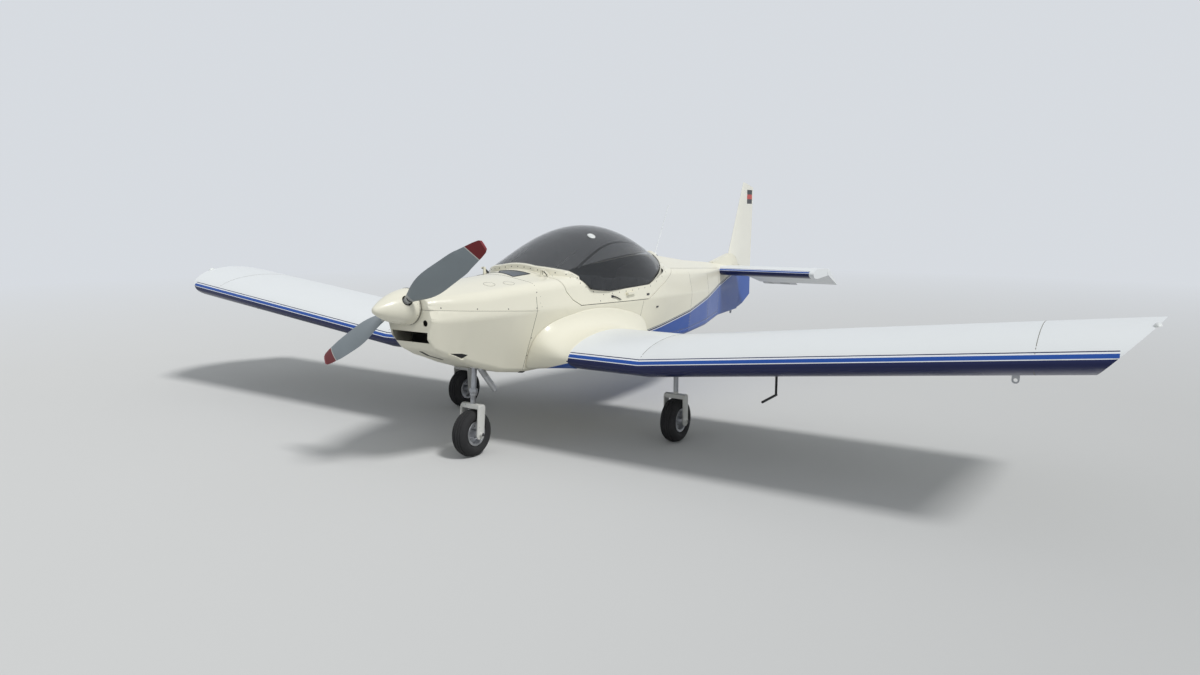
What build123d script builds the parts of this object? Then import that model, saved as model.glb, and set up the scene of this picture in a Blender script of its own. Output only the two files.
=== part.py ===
from build123d import *
from math import cos, radians, sin, tan
import os

# Two-seat, low-wing ultralight aircraft of sheet metal, parked on its tricycle gear, elevator drooped.
# Millimetres, +X forward, +Y to port, +Z up from the ground. Stations are measured from the firewall,
# and placed() moves every finished piece so that the middle of the length lies over the origin.

# Overall stations and levels
NOSE_X = 1160.0
RUDDER_TRAILING_X = -4891.0
LENGTH_MIDDLE_X = (NOSE_X + RUDDER_TRAILING_X) / 2
CLEARANCE = 5.0
RUNNING_FIT = 0.05
FAR = 5000.0

# Wall thicknesses: cabin side with its stiffeners, tail skin, cowling and wing skin
CABIN_WALL = 12.0
TAIL_WALL = 4.0
COWL_WALL = 6.0
WING_SKIN = 4.0
TAIL_SURFACE_SKIN = 3.0
GLASS = 5.0
BULKHEAD = 10.0
# Rise of the cabin floor over the firewall's thickness
FLOOR_STEP = 1.0

# Fuselage: firewall at station 0, cabin and tail meet behind the canopy
CABIN_REAR_X = -2350.0
TAIL_END_X = -4460.0
TAIL_ROOM_END_X = -4380.0
# Columns: station, bottom half-width, bottom z, waist half-width, waist z, shoulder half-width, shoulder z,
# crown z, chine radius, waist radius, shoulder radius, crown radius
FIREWALL_SECTION = (0, 250, 585, 405, 1050, 388, 1238, 1304, 60, 120, 90, 900)
JOINT_SECTION = (CABIN_REAR_X, 405, 582, 440, 980, 400, 1195, 1356, 50, 120, 80, 350)
CABIN_SECTIONS = (
    FIREWALL_SECTION,
    (-450, 335, 590, 480, 1040, 462, 1246, 1352, 60, 120, 80, 700),
    (-1100, 410, 590, 522, 1020, 512, 1240, 1400, 60, 120, 80, 600),
    (-1700, 425, 590, 515, 1010, 495, 1235, 1410, 60, 120, 80, 500),
    JOINT_SECTION,
)
TAIL_SECTIONS = (
    JOINT_SECTION,
    (-3000, 290, 580, 305, 940, 275, 1150, 1262, 40, 100, 60, 200),
    (-3740, 95, 592, 104, 900, 94, 1118, 1200, 30, 60, 30, 60),
    (TAIL_END_X, 32, 602, 33, 880, 31, 1076, 1112, 12, 60, 12, 12),
)
# Cowling, from the firewall forward, same columns
COWL_SECTIONS = (
    FIREWALL_SECTION,
    (225, 232, 623, 374, 1050, 354, 1224, 1299, 60, 116, 90, 750),
    (450, 205, 698, 330, 1050, 310, 1205, 1290, 60, 110, 90, 600),
    (600, 186, 759, 300, 1050, 276, 1200, 1284, 60, 100, 85, 500),
    (700, 168, 795, 262, 1050, 236, 1195, 1274, 60, 90, 80, 400),
    (800, 154, 850, 215, 1050, 186, 1190, 1264, 45, 60, 70, 250),
    (862, 160, 933, 199, 1060, 152, 1180, 1255, 25, 30, 55, 150),
)
COWL_FRONT_X = COWL_SECTIONS[-1][0]
# The two halves meet on a line that rises forward
COWL_SPLIT_Z = 1048.0
COWL_SPLIT_SLOPE = 0.0896
COWL_SEAM = 2.0
# Air slot in the chin: corners as butt line and level
SLOT_CORNERS = ((-160, 980), (160, 980), (152, 908), (-152, 908))
INLET_CENTRE = (142.0, 1040.0)
INLET_RADIUS = 21.0
LEG_HOLE = ((195.0, -48.0, 500.0), (345.0, 48.0, 760.0))

# Engine, propeller and spinner
THRUST_Z = 1143.0
ENGINE_SIZE = (520.0, 400.0, 310.0)
ENGINE_REAR_X = 120.0
ENGINE_TOP_Z = 1170.0
ENGINE_MOUNT_Y = 120.0
ENGINE_MOUNT_LEVELS = (920.0, 1120.0)
ENGINE_MOUNT_WIDTH = 30.0
GEARBOX_RADIUS = 70.0
PROP_PLANE_X = 957.0
PROP_RADIUS = 840.0
PROP_REST_ANGLE = 29.2
PROP_SHAFT_RADIUS = 25.0
PROP_SHAFT_SEAT = 90.0
SPINNER_BASE_X = 874.0
SPINNER_RADIUS = 119.0
SPINNER_WALL = 3.0
BACKPLATE = 5.0
# Shares of length and radius that the spinner's long arc passes through, and the ball that closes its tip
SPINNER_MIDDLE = (0.5, 0.751)
SPINNER_TIP_RADIUS = 28.5
SPINNER_TIP_ANGLE = 56.6
HUB_RADIUS = 55.0
HUB_REAR = -45.0
HUB_FRONT = 40.0
SHANK_RADIUS = 25.0
# Columns: radius share, chord, thickness, pitch angle
BLADE_SECTIONS = (
    (0.060, 50.0, 49.9, 50.0),
    (0.150, 64.0, 40.0, 46.0),
    (0.260, 128.0, 26.0, 38.0),
    (0.420, 170.0, 19.0, 28.0),
    (0.600, 162.0, 15.0, 22.0),
    (0.780, 138.0, 11.0, 18.0),
    (0.920, 104.0, 8.0, 14.0),
    (0.975, 84.0, 6.5, 13.5),
    (1.000, 56.0, 5.0, 13.0),
)
BLADE_SMOOTH_ROWS = 6

# Main wing
WING_LEADING_X = -7.0
WING_LEADING_Z = 714.0
WING_CHORD = 1469.0
WING_CREST = 152.0
WING_BELLY = 118.0
WING_TRAILING_DROP = 90.0
WING_TRAILING_EDGE = 5.0
CREST_SHARE = 0.34
KNEE_SHARE = 0.70
ROOT_OVERLAP_Y = 300.0
SEAM_Y = 1197.0
TIP_SEAM_Y = 3508.0
DIHEDRAL = 6.39
# The tip ends on one plane, raked aft and leaning out: where it meets the nose line, its outward normal,
# and how far the panel reaches before it is cut
TIP_CUT_Y = 3848.0
TIP_CUT_NORMAL = (0.127, 1.11, -0.98)
TIP_REACH_Y = 4200.0

# Ailerons, hung from the outer panels
AILERON_INNER_Y = 1960.0
AILERON_OUTER_Y = 3440.0
AILERON_HINGE_SHARE = 0.77

# Root fairing, columns: butt line, nose station, height of the crest, trailing station, trailing drop, and
# how far it stands below the wing's belly
FAIRING_ROWS = (
    (300.0, -190.0, 302.0, -1600.0, -30.0, 4.0),
    (360.0, -190.0, 302.0, -1600.0, -30.0, 4.0),
    (410.0, -135.0, 302.0, -1600.0, -30.0, 4.0),
    (450.0, -107.0, 302.0, -1600.0, -30.0, 4.0),
    (484.0, -88.0, 302.0, -1600.0, -30.0, 4.0),
    (491.6, -63.0, 238.0, -1547.0, 22.0, 4.0),
    (506.8, -47.0, 197.0, -1513.0, 56.0, 4.0),
    (529.6, -35.0, 167.0, -1488.0, 80.0, 4.0),
    (560.0, -30.0, 155.5, -1478.0, 90.0, 4.0),
    (600.0, -5.0, 155.0, -1478.0, 90.0, 3.0),
    (640.0, -5.0, 154.0, -1478.0, 90.0, 2.0),
)

# Tail
STABILIZER_LEADING_X = -3741.0
STABILIZER_Z = 1086.0
STABILIZER_HALF_SPAN = 1161.0
STABILIZER_CAP = 50.0
STABILIZER_HALF_THICKNESS = 52.0
ELEVATOR_HINGE_X = -4254.0
ELEVATOR_NOSE_RADIUS = 34.0
ELEVATOR_CHORD = 380.0
ELEVATOR_DROOP = 26.0
ELEVATOR_TUBE_RADIUS = 18.0
ELEVATOR_INNER_Y = 95.0
ELEVATOR_SPLAY = 150.0
TRIM_TAB = (190.0, 680.0, 62.0, 3.0)
RUDDER_AXIS_LOW = (-4372.0, 600.0)
RUDDER_AXIS_HIGH = (-4453.0, 1121.0)
RUDDER_NOSE_RADIUS = 30.0
RUDDER_TRAILING_EDGE = 5.0
RUDDER_TOP_Z = 2087.0
RUDDER_CAP_Z = RUDDER_TOP_Z - 67.0
RUDDER_LOFT_LEVELS = (RUDDER_AXIS_LOW[1] - 40.0, RUDDER_TOP_Z + 13.0)
RUDDER_LOW_Z = RUDDER_AXIS_LOW[1] + 4.0
RUDDER_NOSE_LEVELS = (RUDDER_AXIS_LOW[1] + 12.0, RUDDER_AXIS_HIGH[1] - 9.0)
# Side view of the rudder: station and level of its corners, from the lower front round to the notch
RUDDER_CORNERS = ((-4600.0, 645.0), (-4850.0, 738.0), (-4848.0, 1066.0),
                  (RUDDER_TRAILING_X, RUDDER_TOP_Z - 57.0), (-4590.0, RUDDER_TOP_Z), (-4190.0, 1263.0))
NOTCH_BULGE = (-4362.0, 1204.0)
NOTCH_FOOT = (-4432.0, 1121.0)
FIN_FRONT = (-3720.0, 1190.0)
FIN_GAP = 8.0
FIN_HALF_THICKNESS = 26.0

# Canopy, a one-piece bubble that tilts forward on two hinges
CANOPY_HINGE = (-205.0, 1318.0)
CANOPY_FRONT_X = -238.0
HINGE_Y = 280.0
HINGE_PIN_RADIUS = 4.0
HINGE_EYE_RADIUS = 9.0
HINGE_PLATE = 12.0
# Side views of the frame's lug and of the fixed ear, from the pin: station and level
LUG_OUTLINE = ((-4, 8), (-4, -8), (-40, -36), (-48, -66), (-65, -66), (-65, -32))
EAR_OUTLINE = ((-8, 6), (8, 6), (16, -130), (-14, -130))
HANDLE_X = -1070.0
HANDLE_LENGTH = 120.0
HANDLE_REACH = 18.0
HANDLE_ROOT = 22.0
HANDLE_LEVELS = (1082.0, 1100.0)
CANOPY_BASE_Z = 1090.0
# Columns: station, half-width at the base level, crown z
BUBBLE_SECTIONS = (
    (-240, 600, 1335),
    (-500, 524, 1476),
    (-800, 510, 1586),
    (-1200, 508, 1632),
    (-1700, 470, 1516),
    (-2100, 320, 1382),
    (-2310, 192, 1364),
)
# Side view of the canopy's outer boundary (the gap in the fuselage) and of the glass's lower edge
GAP_LINE = ((-235.0, 1600.0), (-235.0, 1322.0), (-250.0, 1255.0), (-282.0, 1165.0), (-345.0, 1098.0),
            (-430.0, 1052.0), (-1385.0, 1018.0), (-1500.0, 1062.0), (-2318.0, 1376.0), (-2318.0, 1600.0))
GLASS_LINE = ((-266.0, 1900.0), (-266.0, 1334.0), (-400.0, 1290.0), (-547.0, 1160.0), (-767.0, 1131.0),
              (-1410.0, 1135.0), (-1480.0, 1158.0), (-2240.0, 1364.0), (-2240.0, 1900.0))
BOW_PROUD = 7.0
BOW_FRONT_X = -1440.0

# Wheels and undercarriage
TYRE_RADIUS = 170.0
TYRE_WIDTH = 125.0
RIM_RADIUS = 82.0
RIM_WIDTH = 96.0
RIM_LIP = 8.0
AXLE_RADIUS = 12.5
HUB_RADIUS_WHEEL = 30.0
FORK_GAP = 14.0
FORK_PLATE = 9.0
FORK_PLATE_WIDTH = 74.0
AXLE_OVERHANG = 22.0
NOSE_AXLE_X = 296.0
NOSE_LEG_LEAN = 6.0
NOSE_LEG_RADIUS = 19.0
NOSE_CROWN_RISE = 215.0
NOSE_LEG_TOP_Z = 850.0
NOSE_BEARING_LEVELS = (470.0, 600.0)
NOSE_BEARING_HEIGHT = 60.0
MAIN_AXLE_X = -815.0
MAIN_WHEEL_Y = 1073.0
MAIN_CROWN_RISE = 205.0
MAIN_LEG_RADIUS = 19.0
CROWN_HEIGHT = 34.0

# Cockpit
SEAT_REAR_X = -1500.0
SEAT_FRONT_X = -1000.0
SEAT_TOP_Z = 800.0
SEAT_WIDTH = 430.0
SEAT_THICKNESS = 90.0
BACKREST_TOP_Z = 1195.0
SEAT_MIDDLE_GAP = 6.0
SEAT_SIDE_GAP = 4.0
BACKREST_LEAN = 14.0
BACKREST_CORNER = 60.0
BENCH_LOW_Z = 640.0
PANEL_X = -500.0
PANEL_THICKNESS = 25.0
PANEL_LEVELS = (860.0, 1145.0)
REAR_BULKHEAD_X = -1720.0
# Control stick: rod and grip, each as radius, low end and high end (station, level)
STICK_ROD = (11.0, (-820.0, 640.0), (-850.0, 960.0))
STICK_GRIP = (16.0, (-848.0, 930.0), (-858.0, 1040.0))

# Exhaust pipe, from the engine to its open end under the cowling
EXHAUST_START = (330.0, 100.0, 690.0)
EXHAUST_END = (148.0, 100.0, 474.0)
EXHAUST_RADIUS = 22.0
EXHAUST_WALL = 2.5

# Pitot tube, antenna and tie-down rings
PITOT_Y = 2000.0
PITOT_X = -445.0
PITOT_DROP_Z = 545.0
PITOT_REACH = 240.0
PITOT_RADIUS = 8.0
ANTENNA_BASE = (-2420.0, 0.0, 1338.0)
ANTENNA_TIP = (-2700.0, 0.0, 1808.0)
ANTENNA_RADIUS = 4.0
ANTENNA_FOOT_RADIUS = 20.0
RING_Y = 3400.0
RING_X = -380.0
RING_OUTER = 20.0
RING_BORE = 11.0
RING_WIDTH = 10.0
RING_DROP = 34.0
TAIL_RING = (-4290.0, 0.0, 606.0)


def at_station(x):
    """Cross-section plane at a station: local x is +Y, local y is +Z."""
    return Plane(origin=(x, 0, 0), x_dir=(0, 1, 0), z_dir=(1, 0, 0))


def at_butt(y, x=0.0, z=0.0):
    """Side-view plane at a butt line: local x is +X, local y is +Z."""
    return Plane(origin=(x, y, z), x_dir=(1, 0, 0), z_dir=(0, -1, 0))


def polygon(corners):
    """A flat face with straight sides."""
    return make_face(Polyline(*corners, close=True))


def side_slab(face, half_width):
    """A side-view face drawn out evenly to both sides of the middle."""
    return at_butt(0) * extrude(face, amount=half_width, both=True)


def bar(start, end, radius):
    """A round bar between two points."""
    start, end = Vector(*start), Vector(*end)
    reach = end - start
    return Plane(origin=start, z_dir=reach) * extrude(Circle(radius), amount=reach.length)


def block(low, high):
    """A plain block between two opposite corners."""
    size = [b - a for a, b in zip(low, high)]
    middle = [(a + b) / 2 for a, b in zip(low, high)]
    return Pos(*middle) * Box(*size)


def mirrored(shape):
    """The same shape on the other side of the aircraft."""
    return mirror(shape, about=Plane.XZ)


def both_sides(shape):
    """A piece and its mirror image, as two solids of one node."""
    return Compound(children=[shape, mirrored(shape)])


def body_section(row, wall=0.0):
    """One fuselage or cowling section, drawn as lines with rounded corners and set in by a wall."""
    x, bottom, bottom_z, waist, waist_z, shoulder, shoulder_z, crown_z, *corner_radii = row
    chine_r, waist_r, shoulder_r, crown_r = corner_radii
    port = [(bottom - wall, bottom_z + wall), (waist - wall, waist_z),
            (shoulder - wall, shoulder_z - wall / 2)]
    starboard = [(-y, z) for y, z in reversed(port)]
    corners = [port[0], port[1], port[2], (0, crown_z - wall), *starboard]
    lower = max(chine_r - wall, 4.0)
    upper = max(shoulder_r - wall, 4.0)
    radii = [lower, waist_r, upper, crown_r, upper, waist_r, lower]
    return at_station(x) * make_face(FilletPolyline(*corners, radius=radii, close=True))


def body_loft(rows, wall=0.0, ruled=False):
    """A solid through a table of sections: smooth, or with flat-wrapped panels between them."""
    return loft([body_section(row, wall) for row in rows], ruled=ruled)


def moved_row(row, x):
    """The same section at another station."""
    return (x, *row[1:])


def ahead_of(x):
    """Everything forward of a station."""
    return block((x, -FAR, -FAR), (x + 2 * FAR, FAR, FAR))


def behind(x):
    """Everything aft of a station."""
    return block((x - 2 * FAR, -FAR, -FAR), (x, FAR, FAR))


CABIN_OUTER = body_loft(CABIN_SECTIONS, ruled=True)
CABIN_ROOM = body_loft(CABIN_SECTIONS, CABIN_WALL, ruled=True)
TAIL_OUTER = body_loft(TAIL_SECTIONS, ruled=True)


def rudder_axis_at(z):
    """Station of the rudder's hinge axis at a level."""
    (low_x, low_z), (high_x, high_z) = RUDDER_AXIS_LOW, RUDDER_AXIS_HIGH
    return low_x + (high_x - low_x) * (z - low_z) / (high_z - low_z)


def canopy_region(grow=0.0):
    """The part of the side view that the canopy takes up, opened by a gap all round."""
    outline = polygon(GAP_LINE)
    if grow:
        outline = offset(outline, amount=grow, kind=Kind.INTERSECTION)
    return at_butt(0) * extrude(outline, amount=700, both=True)


def bubble(grow=0.0):
    """The canopy's bubble as a solid, grown or shrunk evenly, with its flat base below the glass line."""
    sections = []
    for x, half_width, crown_z in BUBBLE_SECTIONS:
        left, right = [(side * (half_width + grow), CANOPY_BASE_Z) for side in (-1, 1)]
        outline = [ThreePointArc(left, (0, crown_z + grow), right), Line(right, left)]
        sections.append(at_station(x) * make_face(outline))
    return loft(sections)


def cabin_pieces():
    tail_room = body_loft(TAIL_SECTIONS, TAIL_WALL, ruled=True) & ahead_of(TAIL_ROOM_END_X)
    cabin = CABIN_OUTER - CABIN_ROOM
    cabin -= canopy_region(CLEARANCE)
    tail = TAIL_OUTER - tail_room
    tail -= rudder_sweep()
    tail -= stabilizer_body()
    tail -= bar((ELEVATOR_HINGE_X, -300, STABILIZER_Z), (ELEVATOR_HINGE_X, 300, STABILIZER_Z),
                ELEVATOR_TUBE_RADIUS + CLEARANCE)
    low_z = FIREWALL_SECTION[2] + FLOOR_STEP
    raised_row = FIREWALL_SECTION[:2] + (low_z,) + FIREWALL_SECTION[3:]
    firewall = extrude(body_section(raised_row, CABIN_WALL), amount=-BULKHEAD)
    return cabin, tail, firewall


def elliptic(middle, along, across, start, sweep):
    """Elliptic arc from a start angle through a sweep, in degrees."""
    return EllipticalCenterArc(middle, along, across, start, arc_size=sweep)


def aerofoil(crest, belly, chord, drop, edge, inset=0.0):
    """Aerofoil outline with its nose at the local origin: two elliptic fronts, two arcs, two flat rears."""
    nose = -inset
    tail = -chord + (0 if inset == 0 else 30 * inset)
    peak_x = -CREST_SHARE * chord
    knee_x = -KNEE_SHARE * chord
    top = crest - inset
    low = -belly + inset
    run, flat = peak_x - knee_x, knee_x - tail
    share = run / (run + 2 * flat)
    upper_tail, lower_tail = -drop + edge / 2, -drop - edge / 2
    upper_knee = (knee_x, top - (top - upper_tail) * share)
    lower_knee = (knee_x, low + (lower_tail - low) * share)
    front = abs(peak_x - nose)
    upper_front = elliptic((peak_x, 0), front, top, 0, 90)
    if low < 0:
        lower_front = elliptic((peak_x, 0), front, -low, 270, 90)
    else:
        lower_front = elliptic((peak_x, 0), front, low, 0, 90)
    pieces = [upper_front, TangentArc((peak_x, top), upper_knee, tangent=(-1, 0)),
              Line(upper_knee, (tail, upper_tail)), Line((tail, upper_tail), (tail, lower_tail)),
              Line((tail, lower_tail), lower_knee),
              TangentArc((peak_x, low), lower_knee, tangent=(-1, 0)), lower_front]
    return make_face(pieces)


def wing_lift(y):
    """Height that the dihedral adds at a butt line."""
    return max(y - SEAM_Y, 0) * tan(radians(DIHEDRAL))


def wing_section(y, inset=0.0):
    outline = aerofoil(WING_CREST, WING_BELLY, WING_CHORD, WING_TRAILING_DROP, WING_TRAILING_EDGE, inset)
    return at_butt(y, WING_LEADING_X, WING_LEADING_Z + wing_lift(y)) * outline


def root_wing(inset=0.0):
    """The level middle part of the port wing, from inside the cabin out to the panel seam."""
    return extrude(wing_section(ROOT_OVERLAP_Y, inset), amount=SEAM_Y - ROOT_OVERLAP_Y, dir=(0, 1, 0))


def beyond_tip(moved_in=0.0):
    """Everything outboard of the plane that ends the wing."""
    nose = (WING_LEADING_X, TIP_CUT_Y, WING_LEADING_Z + wing_lift(TIP_CUT_Y))
    end = Plane(origin=nose, z_dir=TIP_CUT_NORMAL).offset(-moved_in)
    return end * Pos(0, 0, FAR / 2) * Box(2 * FAR, 2 * FAR, FAR)


def aileron_axis(y):
    """Point on the port aileron's hinge axis, half way between the skins."""
    x = WING_LEADING_X - AILERON_HINGE_SHARE * WING_CHORD
    z = WING_LEADING_Z + wing_lift(y) + AILERON_AXIS_RISE
    return (x, y, z)


def skin_height_at(share, extreme):
    """Height of the flat rear skin at a share of the chord, for the crest or the belly."""
    run, flat = KNEE_SHARE - CREST_SHARE, 1 - KNEE_SHARE
    knee = extreme - (extreme + WING_TRAILING_DROP) * run / (run + 2 * flat)
    return knee + (-WING_TRAILING_DROP - knee) * (share - KNEE_SHARE) / flat


AILERON_TOP = skin_height_at(AILERON_HINGE_SHARE, WING_CREST)
AILERON_BOTTOM = skin_height_at(AILERON_HINGE_SHARE, -WING_BELLY)
AILERON_AXIS_RISE = (AILERON_TOP + AILERON_BOTTOM) / 2
AILERON_NOSE_RADIUS = (AILERON_TOP - AILERON_BOTTOM) / 2 - 3.0


def span_block(front_x, low_y, high_y):
    """Block behind a station, its ends square to the aileron's axis so that they turn in place."""
    run = cos(radians(DIHEDRAL))
    _, middle_y, middle_z = aileron_axis(AILERON_INNER_Y)
    reach = block((-FAR, (low_y - middle_y) / run, -FAR), (front_x, (high_y - middle_y) / run, FAR))
    return Pos(0, middle_y, middle_z) * Rot(DIHEDRAL, 0, 0) * reach


def wing_pieces():
    """Port centre stub, outer panel, tip and aileron."""
    stub = root_wing() - root_wing(WING_SKIN) - CABIN_OUTER
    panel = loft([wing_section(SEAM_Y), wing_section(TIP_SEAM_Y)], ruled=True)
    room = loft([wing_section(SEAM_Y, WING_SKIN), wing_section(TIP_SEAM_Y, WING_SKIN)], ruled=True)
    solid_panel = panel
    low, high = aileron_axis(AILERON_INNER_Y - CLEARANCE), aileron_axis(AILERON_OUTER_Y + CLEARANCE)
    bay = bar(low, high, AILERON_NOSE_RADIUS + CLEARANCE)
    hinge_x = low[0]
    bay += span_block(hinge_x, low[1], high[1])
    spar_x = hinge_x + AILERON_NOSE_RADIUS + CLEARANCE + WING_SKIN
    inner_rib_y = AILERON_INNER_Y - CLEARANCE - WING_SKIN
    flap_room = room & span_block(spar_x + WING_SKIN, -FAR, inner_rib_y)
    panel = panel - (room & ahead_of(spar_x)) - flap_room - bay
    aileron = solid_panel & span_block(hinge_x, AILERON_INNER_Y, AILERON_OUTER_Y)
    aileron += bar(aileron_axis(AILERON_INNER_Y), aileron_axis(AILERON_OUTER_Y), AILERON_NOSE_RADIUS)
    inner_y, outer_y = AILERON_INNER_Y + WING_SKIN, AILERON_OUTER_Y - WING_SKIN
    aileron -= room & span_block(hinge_x, inner_y, outer_y)
    aileron -= bar(aileron_axis(inner_y), aileron_axis(outer_y), AILERON_NOSE_RADIUS - WING_SKIN)
    ends = (TIP_SEAM_Y, TIP_REACH_Y)
    tip = loft([wing_section(y) for y in ends], ruled=True) - beyond_tip()
    tip -= loft([wing_section(y, WING_SKIN) for y in ends], ruled=True) - beyond_tip(WING_SKIN)
    return stub, panel, tip, aileron, solid_panel


def fairing():
    """Port root fairing: a fillet that climbs from the wing to the cabin's side."""
    sections = []
    for y, nose_x, crest, trailing_x, drop, proud in FAIRING_ROWS:
        outline = aerofoil(crest, WING_BELLY + proud, nose_x - trailing_x, drop, WING_TRAILING_EDGE)
        sections.append(at_butt(y, nose_x, WING_LEADING_Z) * outline)
    return loft(sections, ruled=True) - root_wing() - CABIN_OUTER


def stabilizer_face(inset=0.0):
    """Side view of the fixed tailplane: round front, flat rear, a hollow for the elevator's nose."""
    half = STABILIZER_HALF_THICKNESS - inset
    front = 150.0
    rear_half = ELEVATOR_NOSE_RADIUS + 3.0 - inset
    length = STABILIZER_LEADING_X - ELEVATOR_HINGE_X
    nose = elliptic((-front, 0), front - inset, half, 270, 180)
    end = -length + (50.0 + inset if inset else 0.0)
    pieces = [nose, Line((-front, half), (end, rear_half)), Line((end, rear_half), (end, -rear_half)),
              Line((end, -rear_half), (-front, -half))]
    return make_face(pieces)


def stabilizer_body(inset=0.0):
    plane = at_butt(-STABILIZER_HALF_SPAN + STABILIZER_CAP, STABILIZER_LEADING_X, STABILIZER_Z)
    span = 2 * (STABILIZER_HALF_SPAN - STABILIZER_CAP)
    body = plane * extrude(stabilizer_face(inset), amount=-span)
    if inset:
        return body
    nose_bay = bar((ELEVATOR_HINGE_X, -STABILIZER_HALF_SPAN, STABILIZER_Z),
                   (ELEVATOR_HINGE_X, STABILIZER_HALF_SPAN, STABILIZER_Z), ELEVATOR_NOSE_RADIUS + CLEARANCE)
    return body - nose_bay


def elevator_face(inset=0.0):
    """Side view of the elevator about its hinge, before it droops: round nose and flat wedge."""
    r, edge = ELEVATOR_NOSE_RADIUS - inset, 3.0
    tail = -ELEVATOR_CHORD + 15 * inset
    pieces = [CenterArc((0, 0), r, -90, 180), Line((0, r), (tail, edge)), Line((tail, edge), (tail, -edge)),
              Line((tail, -edge), (0, -r))]
    return make_face(pieces)


def drooped(shape):
    """Turned about the elevator's hinge to its resting droop."""
    hinge = Axis((ELEVATOR_HINGE_X, 0, STABILIZER_Z), (0, 1, 0))
    return shape.rotate(hinge, -ELEVATOR_DROOP)


def tail_pieces():
    stabilizer = stabilizer_body() - TAIL_OUTER - stabilizer_body(TAIL_SURFACE_SKIN)
    cap_y = STABILIZER_HALF_SPAN - STABILIZER_CAP
    plane = at_butt(cap_y, STABILIZER_LEADING_X, STABILIZER_Z)
    cap = plane * extrude(stabilizer_face(), amount=-STABILIZER_CAP)
    cap -= bar((ELEVATOR_HINGE_X, 0, STABILIZER_Z), (ELEVATOR_HINGE_X, 2000, STABILIZER_Z),
               ELEVATOR_NOSE_RADIUS + CLEARANCE)
    caps = Compound(children=[cap, mirrored(cap)])
    hinge_plane = at_butt(ELEVATOR_INNER_Y, ELEVATOR_HINGE_X, STABILIZER_Z)
    half = hinge_plane * extrude(elevator_face(), amount=-(cap_y - ELEVATOR_INNER_Y))
    splay = [(ELEVATOR_HINGE_X, 0), (ELEVATOR_HINGE_X, ELEVATOR_INNER_Y),
             (ELEVATOR_HINGE_X - ELEVATOR_CHORD - 10, ELEVATOR_INNER_Y + ELEVATOR_SPLAY),
             (ELEVATOR_HINGE_X - ELEVATOR_CHORD - 10, 0)]
    half -= Pos(0, 0, STABILIZER_Z - 200) * extrude(polygon(splay), amount=400)
    hollow_y = ELEVATOR_INNER_Y + ELEVATOR_SPLAY + 20
    half -= at_butt(hollow_y, ELEVATOR_HINGE_X, STABILIZER_Z) * extrude(elevator_face(TAIL_SURFACE_SKIN),
                                                                        amount=-(cap_y - hollow_y))
    tube_end = ELEVATOR_INNER_Y + 20
    tube = bar((ELEVATOR_HINGE_X, -tube_end, STABILIZER_Z), (ELEVATOR_HINGE_X, tube_end, STABILIZER_Z),
               ELEVATOR_TUBE_RADIUS)
    elevator = drooped(half + mirrored(half) + tube)
    end = at_butt(cap_y, ELEVATOR_HINGE_X, STABILIZER_Z) * extrude(elevator_face(), amount=-STABILIZER_CAP)
    ends = drooped(Compound(children=[end, mirrored(end)]))
    tab_inner, tab_outer, tab_chord, tab_thickness = TRIM_TAB
    tail_x = ELEVATOR_HINGE_X - ELEVATOR_CHORD
    tab = block((tail_x - tab_chord, tab_inner + 80, STABILIZER_Z - tab_thickness / 2),
                (tail_x, tab_outer, STABILIZER_Z + tab_thickness / 2))
    return stabilizer, caps, elevator, ends, drooped(tab)


def rudder_level_section(z, inset=0.0):
    """Symmetric aerofoil of the rudder at a level."""
    top_lead, base_lead = RUDDER_CORNERS[4], RUDDER_CORNERS[5]
    slope = (top_lead[0] - base_lead[0]) / (top_lead[1] - base_lead[1])
    lead = base_lead[0] + slope * (z - base_lead[1])
    top_trail, low_trail = RUDDER_CORNERS[3], RUDDER_CORNERS[1]
    trail = low_trail[0] + (top_trail[0] - low_trail[0]) * (z - low_trail[1]) / (top_trail[1] - low_trail[1])
    chord = lead - trail
    half = 0.033 * chord - inset
    front = 0.3 * chord
    trail += 25 * inset
    edge = RUDDER_TRAILING_EDGE / 2
    pieces = [elliptic((lead - front, 0), front - inset, half, 270, 180), Line((lead - front, half), (trail, edge)),
              Line((trail, edge), (trail, -edge)), Line((trail, -edge), (lead - front, -half))]
    return Pos(0, 0, z) * make_face(pieces)


def notch_arc(shift=0.0):
    """The curve between fin and rudder, from the rudder's lower leading corner to the tail post."""
    lead = RUDDER_CORNERS[5]
    return ThreePointArc((lead[0] + shift, lead[1]), (NOTCH_BULGE[0] + shift, NOTCH_BULGE[1] - shift / 2),
                         (NOTCH_FOOT[0] + shift, NOTCH_FOOT[1] - shift))


def rudder():
    body = loft([rudder_level_section(z) for z in RUDDER_LOFT_LEVELS], ruled=True)
    foot = NOTCH_FOOT
    axis_foot = (rudder_axis_at(foot[1]), foot[1])
    low = (rudder_axis_at(RUDDER_LOW_Z), RUDDER_LOW_Z)
    outline = [notch_arc(), Line(foot, axis_foot), Line(axis_foot, low), Line(low, RUDDER_CORNERS[0])]
    outline += [Line(a, b) for a, b in zip(RUDDER_CORNERS[:-1], RUDDER_CORNERS[1:])]
    side_view = make_face(outline)
    body = body & side_slab(side_view, 200)
    nose_low, nose_high = [(rudder_axis_at(z), 0, z) for z in RUDDER_NOSE_LEVELS]
    whole = body + bar(nose_low, nose_high, RUDDER_NOSE_RADIUS)
    room = loft([rudder_level_section(z, TAIL_SURFACE_SKIN) for z in RUDDER_LOFT_LEVELS], ruled=True)
    room = room & side_slab(offset(side_view, amount=-2 * TAIL_SURFACE_SKIN), 200)
    lower = block((-2 * FAR, -FAR, -FAR), (0, FAR, RUDDER_CAP_Z))
    cap = block((-2 * FAR, -FAR, RUDDER_CAP_Z), (0, FAR, FAR))
    return (whole & lower) - room, whole & cap


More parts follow.
